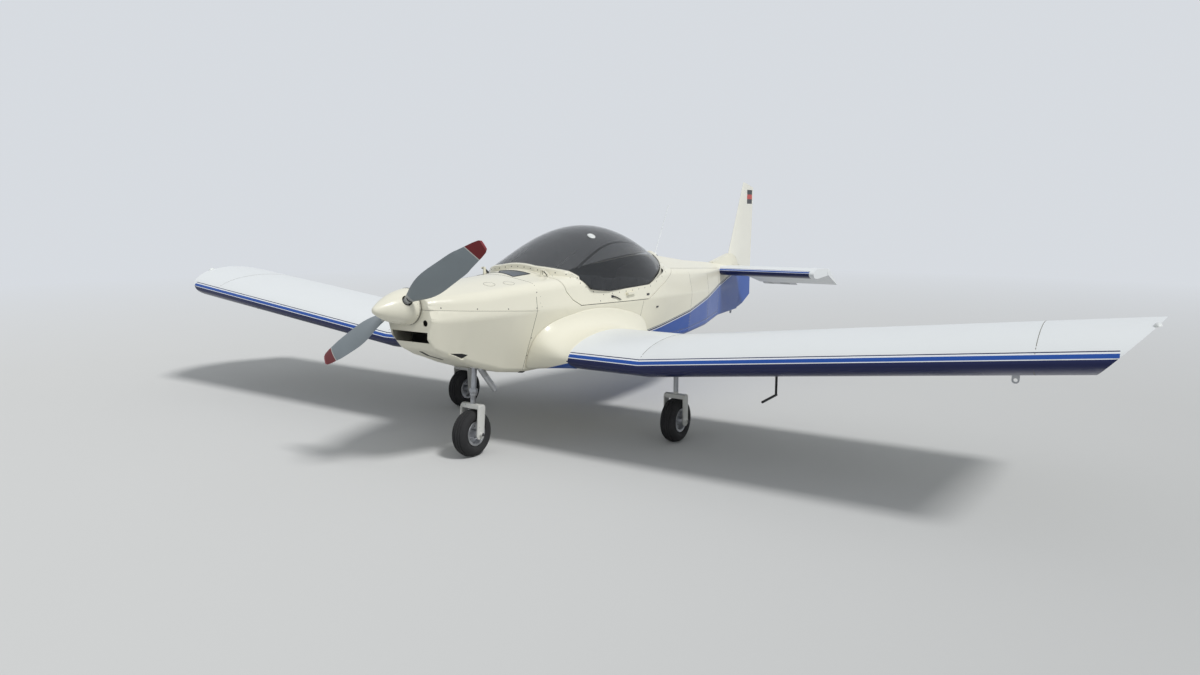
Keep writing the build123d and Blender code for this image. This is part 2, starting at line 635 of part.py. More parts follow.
def rudder_sweep():
    """Room that the turning rudder takes out of the fuselage's tail."""
    low_z, high_z = RUDDER_AXIS_LOW[1] - 300, RUDDER_AXIS_HIGH[1] + 280
    low_x, high_x = rudder_axis_at(low_z), rudder_axis_at(high_z)
    room = bar((low_x, 0, low_z), (high_x, 0, high_z), RUDDER_NOSE_RADIUS + CLEARANCE)
    aft = [(low_x, low_z), (high_x, high_z), (-FAR, high_z), (-FAR, low_z)]
    return room + side_slab(polygon(aft), 300)


def dorsal_fin():
    """Fixed fin that fairs the turtle deck into the rudder's leading edge."""
    lead = RUDDER_CORNERS[5]
    start = (lead[0] + FIN_GAP, lead[1])
    foot = (NOTCH_FOOT[0] + FIN_GAP, NOTCH_FOOT[1] - FIN_GAP)
    root_z = FIN_FRONT[1] - 190
    outline = [Line(FIN_FRONT, start), notch_arc(FIN_GAP), Line(foot, (foot[0], root_z)),
               Line((foot[0], root_z), (FIN_FRONT[0], root_z)), Line((FIN_FRONT[0], root_z), FIN_FRONT)]
    fin = side_slab(make_face(outline), FIN_HALF_THICKNESS)
    return fin - TAIL_OUTER - stabilizer_body() - rudder_sweep()


def tyre():
    """Tyre about the local Y axis, with a round crown and flat-sided bead."""
    half = TYRE_WIDTH / 2
    bead = RIM_WIDTH / 2 - 6
    lip = RIM_RADIUS + 10
    outline = [Line((-bead, RIM_RADIUS), (bead, RIM_RADIUS)), Line((bead, RIM_RADIUS), (bead, lip)),
               Line((bead, lip), (half, RIM_RADIUS + 40)),
               ThreePointArc((half, RIM_RADIUS + 40), (0.72 * half, TYRE_RADIUS - 13), (0, TYRE_RADIUS)),
               ThreePointArc((0, TYRE_RADIUS), (-0.72 * half, TYRE_RADIUS - 13), (-half, RIM_RADIUS + 40)),
               Line((-half, RIM_RADIUS + 40), (-bead, lip)), Line((-bead, lip), (-bead, RIM_RADIUS))]
    return revolve(make_face(outline), Axis.X).rotate(Axis.Z, 90)


def wheel_hub():
    """Rim drum with two flanges, web and axle boss, bored for the axle."""
    half = RIM_WIDTH / 2
    bore = AXLE_RADIUS + RUNNING_FIT
    boss = TYRE_WIDTH / 2 + FORK_GAP - 9.0
    web = 7.0
    low, high = RIM_RADIUS - RIM_LIP, RIM_RADIUS + RIM_LIP
    right = [(boss, bore), (boss, HUB_RADIUS_WHEEL), (web, HUB_RADIUS_WHEEL), (web, low), (half, low), (half, high),
             (half - 6, high), (half - 6, RIM_RADIUS)]
    left = [(-x, r) for x, r in reversed(right)]
    return revolve(polygon([*right, *left]), Axis.X).rotate(Axis.Z, 90)


def fork(crown_rise):
    """Two plates, a crown over the tyre and the axle, about the wheel's centre."""
    inner = TYRE_WIDTH / 2 + FORK_GAP
    outer = inner + FORK_PLATE
    half = FORK_PLATE_WIDTH / 2
    profile = RectangleRounded(FORK_PLATE_WIDTH, crown_rise + half, 30)
    plate = at_butt(outer, 0, crown_rise / 2 - half / 2) * extrude(profile, amount=FORK_PLATE)
    crown = block((-half + 8, -inner, crown_rise - CROWN_HEIGHT), (half - 8, inner, crown_rise - 4))
    axle = bar((0, -outer - AXLE_OVERHANG, 0), (0, outer + AXLE_OVERHANG, 0), AXLE_RADIUS)
    return plate + mirrored(plate) + crown + axle


def lean(shape):
    """Leaned about the nose axle so that the leg's foot is forward."""
    return shape.rotate(Axis((0, 0, 0), (0, 1, 0)), -NOSE_LEG_LEAN)


def nose_gear():
    centre = Pos(NOSE_AXLE_X, 0, TYRE_RADIUS)
    length = (NOSE_LEG_TOP_Z - TYRE_RADIUS) / cos(radians(NOSE_LEG_LEAN))
    leg = Pos(0, 0, NOSE_CROWN_RISE - 4) * extrude(Circle(NOSE_LEG_RADIUS), amount=length - NOSE_CROWN_RISE)
    collar_z = NOSE_CROWN_RISE + 72
    collar = Pos(0, 0, collar_z) * (extrude(Circle(NOSE_LEG_RADIUS + 11), amount=34))
    bearings = []
    ring = Circle(NOSE_LEG_RADIUS + 14) - Circle(NOSE_LEG_RADIUS + RUNNING_FIT)
    for level in NOSE_BEARING_LEVELS:
        bearings.append(centre * lean(Pos(0, 0, level) * extrude(ring, amount=NOSE_BEARING_HEIGHT)))
    leg = centre * lean(leg + collar)
    nose_fork = centre * lean(fork(NOSE_CROWN_RISE))
    arms = Part()
    for sleeve in bearings:
        box = sleeve.bounding_box()
        middle = (box.min.Z + box.max.Z) / 2
        arms += block((0, -40, middle - 18), (box.min.X + 10, 40, middle + 18))
    clear_rod = centre * lean(Pos(0, 0, 400) * extrude(Circle(NOSE_LEG_RADIUS + 13), amount=400))
    bracket = arms - clear_rod
    for sleeve in bearings:
        bracket += sleeve
    return leg, nose_fork, bracket


def cowl_side(above):
    """Everything above or below the sloping split line, less half of the seam."""
    half_seam = COWL_SEAM / 2 if above else -COWL_SEAM / 2
    far_z = FAR if above else -FAR
    ends = [(x, COWL_SPLIT_Z + COWL_SPLIT_SLOPE * x + half_seam) for x in (-10, NOSE_X)]
    return side_slab(polygon([*ends, (NOSE_X, far_z), (-10, far_z)]), FAR)


def cowl_pieces():
    """Upper and lower halves of the cowling, with slot, inlets and the holes for shaft, leg and pipe."""
    outer = body_loft(COWL_SECTIONS, ruled=True)
    inner_rows = [*COWL_SECTIONS[:-1], moved_row(COWL_SECTIONS[-1], COWL_FRONT_X - COWL_WALL)]
    shell = outer - body_loft(inner_rows, COWL_WALL, ruled=True)
    shell -= at_station(COWL_FRONT_X - 140) * extrude(polygon(SLOT_CORNERS), amount=300)
    inlet = at_station(COWL_FRONT_X - 100) * (Pos(*INLET_CENTRE) * extrude(Circle(INLET_RADIUS), amount=200))
    shell = shell - inlet - mirrored(inlet)
    shell -= bar((COWL_FRONT_X - 60, 0, THRUST_Z), (COWL_FRONT_X + 60, 0, THRUST_Z), GEARBOX_RADIUS + 6)
    lower = (shell & cowl_side(False)) - block(*LEG_HOLE)
    return shell & cowl_side(True), lower - bar(EXHAUST_START, EXHAUST_END, EXHAUST_RADIUS + CLEARANCE)


def exhaust():
    """Open pipe from the engine's underside, down and aft out of the cowling."""
    pipe = bar(EXHAUST_START, EXHAUST_END, EXHAUST_RADIUS)
    pipe += bar(EXHAUST_START, (*EXHAUST_START[:2], ENGINE_TOP_Z - ENGINE_SIZE[2]), EXHAUST_RADIUS)
    reach = Vector(*EXHAUST_END) - Vector(*EXHAUST_START)
    inside = bar(EXHAUST_START, tuple(Vector(*EXHAUST_END) + reach * 0.1), EXHAUST_RADIUS - EXHAUST_WALL)
    return pipe - inside


def engine():
    """Engine as one block with its reduction gearbox and four mounting arms on the firewall."""
    length, width, height = ENGINE_SIZE
    front = ENGINE_REAR_X + length
    whole = block((ENGINE_REAR_X, -width / 2, ENGINE_TOP_Z - height), (front, width / 2, ENGINE_TOP_Z))
    gearbox_front = SPINNER_BASE_X - BACKPLATE - CLEARANCE
    whole += bar((front, 0, THRUST_Z), (gearbox_front, 0, THRUST_Z), GEARBOX_RADIUS - 6)
    arm = ENGINE_MOUNT_WIDTH / 2
    for side in (-ENGINE_MOUNT_Y, ENGINE_MOUNT_Y):
        for level in ENGINE_MOUNT_LEVELS:
            whole += block((0, side - arm, level - arm), (ENGINE_REAR_X, side + arm, level + arm))
    seat_start = SPINNER_BASE_X - BACKPLATE - PROP_SHAFT_SEAT
    bore = bar((seat_start, 0, THRUST_Z), (SPINNER_BASE_X + 50, 0, THRUST_Z), PROP_SHAFT_RADIUS + RUNNING_FIT)
    return whole - bore


def blade():
    """One blade along local +Z from the hub's centre: a round shank that flattens into a twisted paddle."""
    sections = []
    for share, chord, thickness, pitch in BLADE_SECTIONS:
        half, rise = chord / 2, thickness / 2
        outline = make_face([ThreePointArc((-half, 0), (0, rise), (half, 0)),
                             ThreePointArc((half, 0), (0, -rise), (-half, 0))])
        sections.append(Pos(0, 0, share * PROP_RADIUS) * Rot(0, 0, 90 + pitch) * outline)
    smooth, tip = sections[:BLADE_SMOOTH_ROWS], sections[BLADE_SMOOTH_ROWS - 1:]
    return loft(smooth) + loft(tip, ruled=True)


def dome_face(inset=0.0):
    """Half of the spinner's outline along local X: a long arc closed by a small ball."""
    length, radius, ball = NOSE_X - SPINNER_BASE_X - inset, SPINNER_RADIUS - inset, SPINNER_TIP_RADIUS - inset
    centre, angle = length - ball, radians(SPINNER_TIP_ANGLE)
    middle = (SPINNER_MIDDLE[0] * length, SPINNER_MIDDLE[1] * radius)
    tip = (centre + ball * cos(angle), ball * sin(angle))
    outline = [ThreePointArc((0, radius), middle, tip),
               CenterArc((centre, 0), ball, SPINNER_TIP_ANGLE, -SPINNER_TIP_ANGLE),
               Line((length, 0), (0, 0)), Line((0, 0), (0, radius))]
    return make_face(outline)


def propeller_pieces():
    """Blades with their hub, and the hollow spinner with its backplate."""
    one = blade()
    base = SPINNER_BASE_X - PROP_PLANE_X
    shaft_end = base - BACKPLATE - PROP_SHAFT_SEAT + CLEARANCE
    blades = one + one.rotate(Axis.X, 180) + bar((HUB_REAR, 0, 0), (HUB_FRONT, 0, 0), HUB_RADIUS)
    blades += bar((base, 0, 0), (HUB_REAR, 0, 0), HUB_RADIUS)
    blades += bar((shaft_end, 0, 0), (HUB_REAR, 0, 0), PROP_SHAFT_RADIUS)
    spinner = revolve(dome_face() - dome_face(SPINNER_WALL), Axis.X)
    spinner = Pos(base, 0, 0) * (spinner + bar((-BACKPLATE, 0, 0), (0, 0, 0), SPINNER_RADIUS))
    spinner -= bar((base - 2 * BACKPLATE, 0, 0), (HUB_REAR, 0, 0), PROP_SHAFT_RADIUS)
    spinner -= bar((0, 0, -PROP_RADIUS), (0, 0, PROP_RADIUS), SHANK_RADIUS + 10)
    place = Pos(PROP_PLANE_X, 0, THRUST_Z)
    turn = -(90 - PROP_REST_ANGLE)
    return place * blades.rotate(Axis.X, turn), place * spinner.rotate(Axis.X, turn)


def canopy_pieces():
    """Glass, and the frame of skirt, front strip and rear bow."""
    glass_zone = at_butt(0) * extrude(polygon(GLASS_LINE), amount=900, both=True)
    outer, inner = bubble(), bubble(-GLASS)
    glass = (outer - inner) & glass_zone
    skirt_zone = canopy_region() - glass_zone
    skirt = (CABIN_OUTER & skirt_zone) - CABIN_ROOM
    bow = ((bubble(BOW_PROUD) - bubble(-GLASS)) & skirt_zone) & behind(BOW_FRONT_X)
    frame = (skirt + bow) - ahead_of(CANOPY_FRONT_X)
    lug = hinge_lug()
    return glass, frame + lug + mirrored(lug)


def leaning_rod(radius, low, high):
    """A round rod in the aircraft's middle, between two points of the side view."""
    return bar((low[0], 0, low[1]), (high[0], 0, high[1]), radius)


def cockpit_pieces():
    """Instrument panel, bench, the seats on it, control stick and rear bulkhead."""
    seat_room = body_loft(CABIN_SECTIONS, CABIN_WALL + SEAT_SIDE_GAP, ruled=True)
    low_z, high_z = PANEL_LEVELS
    panel = block((PANEL_X - PANEL_THICKNESS, -FAR, low_z), (PANEL_X, FAR, high_z)) & CABIN_ROOM
    length = SEAT_FRONT_X - SEAT_REAR_X
    height = BACKREST_TOP_Z - SEAT_TOP_Z - SEAT_SIDE_GAP
    profile = Pos(0, height / 2) * RectangleRounded(SEAT_WIDTH, height, BACKREST_CORNER)
    middle_y = SEAT_WIDTH / 2 + SEAT_MIDDLE_GAP
    cushion = Pos(SEAT_REAR_X + length / 2, middle_y, SEAT_TOP_Z - SEAT_THICKNESS / 2)
    cushion *= Box(length, SEAT_WIDTH, SEAT_THICKNESS)
    back = at_station(SEAT_REAR_X - SEAT_THICKNESS / 3)
    back *= Pos(middle_y, SEAT_TOP_Z + SEAT_SIDE_GAP) * extrude(profile, amount=SEAT_THICKNESS)
    back = back.rotate(Axis((SEAT_REAR_X, 0, SEAT_TOP_Z), (0, 1, 0)), -BACKREST_LEAN)
    seats = []
    for piece in (cushion & seat_room, back & seat_room):
        seats += [piece, mirrored(piece)]
    half_bench = SEAT_WIDTH + SEAT_MIDDLE_GAP
    bench = block((SEAT_REAR_X - 20, -half_bench, BENCH_LOW_Z),
                  (SEAT_FRONT_X - 20, half_bench, SEAT_TOP_Z - SEAT_THICKNESS)) & CABIN_ROOM
    stick = leaning_rod(*STICK_ROD) + leaning_rod(*STICK_GRIP)
    bulkhead_row = moved_row(CABIN_SECTIONS[3], REAR_BULKHEAD_X)
    bulkhead = extrude(body_section(bulkhead_row), amount=BULKHEAD) & CABIN_ROOM
    return panel, bench, Compound(children=seats), stick, bulkhead - canopy_region(CLEARANCE)


def main_gear():
    """Port main leg: fork, round leg and its block under the wing."""
    centre = Pos(MAIN_AXLE_X, MAIN_WHEEL_Y, TYRE_RADIUS)
    leg = centre * fork(MAIN_CROWN_RISE)
    belly_z = WING_LEADING_Z - WING_BELLY
    leg += bar((MAIN_AXLE_X, MAIN_WHEEL_Y, TYRE_RADIUS + MAIN_CROWN_RISE - 10),
               (MAIN_AXLE_X, MAIN_WHEEL_Y, belly_z - 20), MAIN_LEG_RADIUS)
    pad = Pos(MAIN_AXLE_X, MAIN_WHEEL_Y, belly_z - 30) * extrude(RectangleRounded(150, 110, 30), amount=60)
    return leg + pad - root_wing()


def ring_lug(bore_axis_along_x, top):
    """Tie-down lug: a plate with a bored round end, hanging from a surface at the local origin."""
    eye = Pos(0, -RING_DROP)
    plate = Pos(0, (top - RING_DROP) / 2) * Rectangle(2 * RING_OUTER, RING_DROP + top)
    face = eye * Circle(RING_OUTER) + plate - eye * Circle(RING_BORE)
    plane = at_station(0) if bore_axis_along_x else at_butt(0)
    return plane * extrude(face, amount=RING_WIDTH / 2, both=True)


def small_fittings(wing_panel):
    """Tie-down lugs of wings and tail, pitot tube and whip antenna."""
    ring_z = WING_LEADING_Z + wing_lift(RING_Y) - WING_BELLY
    ring = Pos(RING_X, RING_Y, ring_z + 2) * ring_lug(True, 30) - wing_panel
    tail_ring = Pos(*TAIL_RING) * ring_lug(False, 12) - TAIL_OUTER
    top_z = WING_LEADING_Z + wing_lift(PITOT_Y) - WING_BELLY + 30
    pitot = bar((PITOT_X, PITOT_Y, PITOT_DROP_Z), (PITOT_X, PITOT_Y, top_z), PITOT_RADIUS)
    probe_x = PITOT_X - PITOT_RADIUS
    pitot += bar((probe_x, PITOT_Y, PITOT_DROP_Z), (PITOT_X + PITOT_REACH, PITOT_Y, PITOT_DROP_Z), PITOT_RADIUS)
    foot_x, foot_y, foot_z = ANTENNA_BASE
    foot = bar((foot_x, foot_y, foot_z - 30), (foot_x, foot_y, foot_z + 12), ANTENNA_FOOT_RADIUS)
    antenna = (foot + bar(ANTENNA_BASE, ANTENNA_TIP, ANTENNA_RADIUS)) - TAIL_OUTER
    return Compound(children=[ring, mirrored(ring), tail_ring]), pitot - wing_panel, antenna


def hinge_plate(outline, y_low, y_high):
    """A plate of the hinge, from its side view about the pin and its two faces."""
    x, z = CANOPY_HINGE
    corners = [(x + along, z + up) for along, up in outline]
    return at_butt(y_high) * extrude(polygon(corners), amount=y_high - y_low)


def hinge_lug():
    """Port lug of the canopy frame that turns on the pin, just outboard of the fixed ear."""
    x, z = CANOPY_HINGE
    low, high = HINGE_Y + CLEARANCE, HINGE_Y + CLEARANCE + HINGE_PLATE
    lug = hinge_plate(LUG_OUTLINE, low, high) + bar((x, low, z), (x, high, z), HINGE_EYE_RADIUS)
    return lug - bar((x, low - 1, z), (x, high + 1, z), HINGE_PIN_RADIUS + RUNNING_FIT) - CABIN_ROOM


def canopy_hinges():
    """Fixed ears on the deck with their pins, and the handle on the port side of the canopy."""
    x, z = CANOPY_HINGE
    ear = hinge_plate(EAR_OUTLINE, HINGE_Y - HINGE_PLATE, HINGE_Y)
    ear += bar((x, HINGE_Y - HINGE_PLATE, z), (x, HINGE_Y, z), HINGE_EYE_RADIUS)
    ear = ear - CABIN_OUTER
    ear += bar((x, HINGE_Y - 1, z), (x, HINGE_Y + 2 * CLEARANCE + HINGE_PLATE, z), HINGE_PIN_RADIUS)
    waist = CABIN_SECTIONS[2][3]
    low_z, high_z = HANDLE_LEVELS
    handle = block((HANDLE_X - HANDLE_LENGTH / 2, waist - HANDLE_ROOT, low_z),
                   (HANDLE_X + HANDLE_LENGTH / 2, waist + HANDLE_REACH, high_z))
    return both_sides(ear), handle - CABIN_OUTER


def placed(shape):
    return Pos(-LENGTH_MIDDLE_X, 0, 0) * shape


def wheel_at(x, y):
    return Pos(x, y, TYRE_RADIUS)


def build():
    parts = {}
    cabin, tail, firewall = cabin_pieces()
    parts["fuselage_cabin"] = cabin
    parts["fuselage_tail"] = tail
    cowl_upper, cowl_lower = cowl_pieces()
    parts["cowl_upper"] = cowl_upper
    parts["cowl_lower"] = cowl_lower
    parts["engine_block"] = engine()
    parts["exhaust_pipe"] = exhaust()
    stub, panel, tip, aileron, solid_panel = wing_pieces()
    root_fairing = fairing()
    parts["wing_roots"] = both_sides(stub)
    parts["wing_port"], parts["wing_starboard"] = panel, mirrored(panel)
    parts["wing_tips"] = both_sides(tip)
    parts["aileron_port"], parts["aileron_starboard"] = aileron, mirrored(aileron)
    parts["wing_fairings"] = both_sides(root_fairing)
    stabilizer, caps, elevator, ends, tab = tail_pieces()
    parts["stabilizer"] = stabilizer
    parts["stabilizer_caps"] = caps
    parts["elevator"] = elevator
    parts["elevator_caps"] = ends
    parts["trim_tab"] = tab
    parts["rudder"], parts["rudder_cap"] = rudder()
    parts["dorsal_fin"] = dorsal_fin()
    glass, frame = canopy_pieces()
    parts["canopy_glass"] = glass
    parts["canopy_frame"] = frame
    brackets, handle = canopy_hinges()
    parts["canopy_brackets"] = brackets
    parts["canopy_handle"] = handle
    panel_board, bench, seats, stick, bulkhead = cockpit_pieces()
    parts["instrument_panel"] = panel_board
    parts["seat_bench"] = bench
    parts["seats"] = seats
    parts["control_stick"] = stick
    parts["bulkheads"] = Compound(children=[firewall, bulkhead])
    leg, nose_fork, bracket = nose_gear()
    parts["nose_leg"] = leg
    parts["nose_fork"] = nose_fork
    parts["nose_leg_bearings"] = bracket
    parts["main_legs"] = both_sides(main_gear())
    wheels = (("nose", NOSE_AXLE_X, 0), ("port", MAIN_AXLE_X, MAIN_WHEEL_Y),
              ("starboard", MAIN_AXLE_X, -MAIN_WHEEL_Y))
    for name, x, y in wheels:
        parts[f"tyre_{name}"] = wheel_at(x, y) * tyre()
        parts[f"hub_{name}"] = wheel_at(x, y) * wheel_hub()
    blades, spinner = propeller_pieces()
    parts["propeller"] = blades
    parts["spinner"] = spinner
    parts["tie_down_rings"], parts["pitot_tube"], parts["antenna"] = small_fittings(solid_panel)
    return parts


os.makedirs("parts", exist_ok=True)
for node, shape in build().items():
    export_step(placed(shape), f"parts/{node}.step")
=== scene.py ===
"""Looks of a two-seat, low-wing ultralight aircraft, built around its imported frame.

Stations along the fuselage are measured in metres from the firewall, +X forward, +Y to port and +Z up.
"""

from __future__ import annotations

import logging
import math
from dataclasses import dataclass, replace
from enum import Enum
from functools import lru_cache, partial
from typing import Callable, Iterable, Sequence, Union

import bmesh
import bpy
from mathutils import Matrix, Vector
from mathutils.bvhtree import BVHTree


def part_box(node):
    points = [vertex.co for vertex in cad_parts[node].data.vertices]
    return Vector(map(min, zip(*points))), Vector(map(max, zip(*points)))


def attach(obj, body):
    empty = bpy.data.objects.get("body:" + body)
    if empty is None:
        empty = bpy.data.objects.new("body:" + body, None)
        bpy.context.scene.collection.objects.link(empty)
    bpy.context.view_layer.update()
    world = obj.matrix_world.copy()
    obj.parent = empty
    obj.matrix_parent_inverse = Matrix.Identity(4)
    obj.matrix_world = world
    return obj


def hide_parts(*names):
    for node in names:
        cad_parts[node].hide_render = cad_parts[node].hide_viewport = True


LOG = logging.getLogger("aircraft")
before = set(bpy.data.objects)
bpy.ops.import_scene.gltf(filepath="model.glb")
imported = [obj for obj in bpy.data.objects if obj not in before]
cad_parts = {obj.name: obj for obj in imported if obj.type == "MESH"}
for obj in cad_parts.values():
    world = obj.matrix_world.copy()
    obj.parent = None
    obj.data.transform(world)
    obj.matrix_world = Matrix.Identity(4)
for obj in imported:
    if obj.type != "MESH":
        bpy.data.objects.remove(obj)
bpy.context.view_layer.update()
FIREWALL_X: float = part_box("cowl_upper")[0].x
AHEAD, ASIDE, UP = Vector((1, 0, 0)), Vector((0, 1, 0)), Vector((0, 0, 1))
SIDES = (1, -1)

Pair = tuple[float, float]
Triple = tuple[float, float, float]
Line = tuple[Pair, ...]
Rows = tuple[Triple, ...]
Colour = Triple
Point = Sequence[float]
Contact = tuple[Vector, Vector]
Cast = Callable[..., Union[Contact, None]]
Work = bmesh.types.BMesh
Piece = bpy.types.Object
Socket = bpy.types.NodeSocket


class Body(str, Enum):
    """The moving bodies of the frame."""

    AIRFRAME = "airframe"
    PROPELLER = "propeller"
    NOSE_GEAR = "nose_gear"
    NOSE_WHEEL = "nose_wheel"
    PORT_WHEEL = "main_wheel_port"
    STARBOARD_WHEEL = "main_wheel_starboard"
    CANOPY = "canopy"
    PORT_AILERON = "aileron_port"
    STARBOARD_AILERON = "aileron_starboard"
    ELEVATOR = "elevator"
    RUDDER = "rudder"


class Slot(str, Enum):
    """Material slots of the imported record."""

    WHITE_PAINT = "white_paint"
    CREAM_PAINT = "cream_paint"
    CREAM_COMPOSITE = "cream_composite"
    WHITE_COMPOSITE = "white_composite"
    PROPELLER_GREY = "propeller_grey"
    BARE_ALUMINIUM = "bare_aluminium"
    STEEL = "steel"
    ENGINE_METAL = "engine_metal"
    TYRE_RUBBER = "tyre_rubber"
    SMOKED_GLASS = "smoked_glass"
    DARK_PLASTIC = "dark_plastic"
    SEAT_CLOTH = "seat_cloth"


def at(x: float, y: float, z: float) -> Vector:
    """A point in the row frame.

    Args:
        x: Station ahead of the firewall.
        y: Distance to port of the middle.
        z: Height above the ground.

    Returns:
        The point as a vector.
    """
    return Vector((FIREWALL_X + x, y, z))
def radial(angle: float) -> Vector:
    """A direction square to the fuselage's length, at an angle from port."""
    return Vector((0, math.cos(angle), math.sin(angle)))


def turns(count: int, start: float = 0.0) -> list[float]:
    """Angles spaced evenly round a circle."""
    return [start + 2 * math.pi * index / count for index in range(count)]

# Shader expressions


class Expr:
    """A shader socket that Python's operators combine into Math nodes."""

    def __init__(self, shader: "Shader", socket: Socket) -> None:
        """Wraps one output socket of a shader."""
        self.shader = shader
        self.socket = socket

    def _op(self, operation: str, *others: "Value") -> "Expr":
        """Adds one Math node with this expression as its first value."""
        return self.shader.math(operation, self, *others)

    def __add__(self, other: "Value") -> "Expr":
        """Sum."""
        return self._op("ADD", other)

    def __radd__(self, other: "Value") -> "Expr":
        """Sum with a number on the left."""
        return self._op("ADD", other)

    def __sub__(self, other: "Value") -> "Expr":
        """Difference."""
        return self._op("SUBTRACT", other)

    def __rsub__(self, other: "Value") -> "Expr":
        """Difference with a number on the left."""
        return self.shader.math("SUBTRACT", other, self)

    def __mul__(self, other: "Value") -> "Expr":
        """Product."""
        return self._op("MULTIPLY", other)

    def __rmul__(self, other: "Value") -> "Expr":
        """Product with a number on the left."""
        return self._op("MULTIPLY", other)

    def __truediv__(self, other: "Value") -> "Expr":
        """Quotient."""
        return self._op("DIVIDE", other)

    def __pow__(self, other: "Value") -> "Expr":
        """Power."""
        return self._op("POWER", other)

    def __abs__(self) -> "Expr":
        """Size without its sign."""
        return self._op("ABSOLUTE")

    def above(self, limit: "Value") -> "Expr":
        """1 where the value is over a limit."""
        return self._op("GREATER_THAN", limit)

    def below(self, limit: "Value") -> "Expr":
        """1 where the value is under a limit."""
        return self._op("LESS_THAN", limit)

    def within(self, low: "Value", high: "Value") -> "Expr":
        """1 where the value is between two limits."""
        return self.above(low) * self.below(high)

    def either(self, other: "Value") -> "Expr":
        """The larger of two values."""
        return self._op("MAXIMUM", other)

    def sign(self) -> "Expr":
        """-1 below zero and 1 above it."""
        return self._op("SIGN")


Value = Union[float, Expr]


class NodeWork:
    """A node tree under construction."""

    def __init__(self, tree: bpy.types.NodeTree) -> None:
        """Starts with an empty tree."""
        self.tree = tree
        tree.nodes.clear()

    def node(
        self,
        kind: str,
        settings: dict[str, object] | None = None,
        values: dict[object, object] | None = None,
    ) -> bpy.types.Node:
        """Adds a node.

        Args:
            kind: Node type's identifier.
            settings: The node's own properties, set first.
            values: Values or links of its input sockets, by name or index.

        Returns:
            The new node.
        """
        made = self.tree.nodes.new(kind)
        for name, setting in (settings or {}).items():
            setattr(made, name, setting)
        for name, value in (values or {}).items():
            source = value.socket if isinstance(value, Expr) else value
            if isinstance(source, Socket):
                self.tree.links.new(source, made.inputs[name])
            else:
                made.inputs[name].default_value = source
        return made


class Shader(NodeWork):
    """A material or a world under construction."""

    def __init__(self, name: str, world: bool = False) -> None:
        """Starts an empty material, or an empty world.

        Args:
            name: Its name.
            world: Whether it is a world.
        """
        self.owner = (bpy.data.worlds if world else bpy.data.materials).new(name)
        self.owner.use_nodes = True
        super().__init__(self.owner.node_tree)

    def math(self, operation: str, *values: Value) -> Expr:
        """Adds a Math node."""
        made = self.node("ShaderNodeMath", {"operation": operation}, dict(enumerate(values)))
        return Expr(self, made.outputs[0])

    def place(self) -> tuple[Expr, Expr, Expr]:
        """Station from the firewall, side and height of the shaded point, in metres."""
        coordinates = self.node("ShaderNodeTexCoord").outputs["Object"]
        parts = self.node("ShaderNodeSeparateXYZ", None, {0: coordinates}).outputs
        x, y, z = (Expr(self, part) for part in parts)
        return x - FIREWALL_X, y, z

    def clamped(self, value: Expr) -> Expr:
        """A value kept between 0 and 1."""
        return Expr(self, self.node("ShaderNodeClamp", None, {0: value}).outputs[0])

    def direct_view(self) -> Expr:
        """1 for what the camera sees directly, in a reflection or through glass."""
        path = self.node("ShaderNodeLightPath").outputs
        rays = ("Camera", "Glossy", "Transmission")
        camera, glossy, through = (Expr(self, path[f"Is {ray} Ray"]) for ray in rays)
        return camera.either(glossy).either(through)

    def noise(
        self, scale: float, detail: float = 3.0, roughness: float = 0.5, stretch: Triple = (1, 1, 1)
    ) -> Expr:
        """Noise on Object coordinates.

        Args:
            scale: Cells per metre.
            detail: Octaves.
            roughness: Share of the fine octaves.
            stretch: Factor on each axis before the noise.

        Returns:
            The noise's value, from 0 to 1.
        """
        coordinates = self.node("ShaderNodeTexCoord").outputs["Object"]
        mapped = self.node("ShaderNodeMapping", None, {"Vector": coordinates, "Scale": stretch}).outputs[0]
        values = {"Vector": mapped, "Scale": scale, "Detail": detail, "Roughness": roughness}
        return Expr(self, self.node("ShaderNodeTexNoise", None, values).outputs[0])

    def mixed(self, factor: Value, first: object, second: object) -> Socket:
        """Colour mix of two colours by a factor.

        Args:
            factor: Share of the second colour.
            first: Colour or colour socket.
            second: Colour or colour socket.

        Returns:
            The mixed colour's socket.
        """
        ends = [(*c, 1.0) if isinstance(c, tuple) else c for c in (first, second)]
        made = self.node("ShaderNodeMix", {"data_type": "RGBA"}, {0: factor, 6: ends[0], 7: ends[1]})
        return made.outputs[2]

    def bump(self, height: Expr, distance: float, strength: float = 1.0) -> Socket:
        """Normal from a height in units of a distance."""
        values = {"Strength": strength, "Distance": distance, "Height": height}
        return self.node("ShaderNodeBump", None, values).outputs[0]

    def finish(self, values: dict[object, object]) -> bpy.types.Material:
        """Ends the material with one Principled shader.

        Args:
            values: Values or links of the shader's sockets.

        Returns:
            The material.
        """
        for name in ("Base Color", "Emission Color", "Coat Tint", "Sheen Tint", "Specular Tint"):
            if isinstance(values.get(name), tuple):
                values[name] = (*values[name], 1.0)
        shader = self.node("ShaderNodeBsdfPrincipled", None, values)
        self.node("ShaderNodeOutputMaterial", None, {0: shader.outputs[0]})
        return self.owner


# Finishes

CREAM: Colour = (0.80, 0.77, 0.64)
WHITE: Colour = (0.78, 0.80, 0.80)
BLUE: Colour = (0.010, 0.075, 0.36)
NAVY: Colour = (0.004, 0.010, 0.075)
TEAL: Colour = (0.010, 0.08, 0.15)
STRIPE_WHITE: Colour = (0.82, 0.84, 0.86)


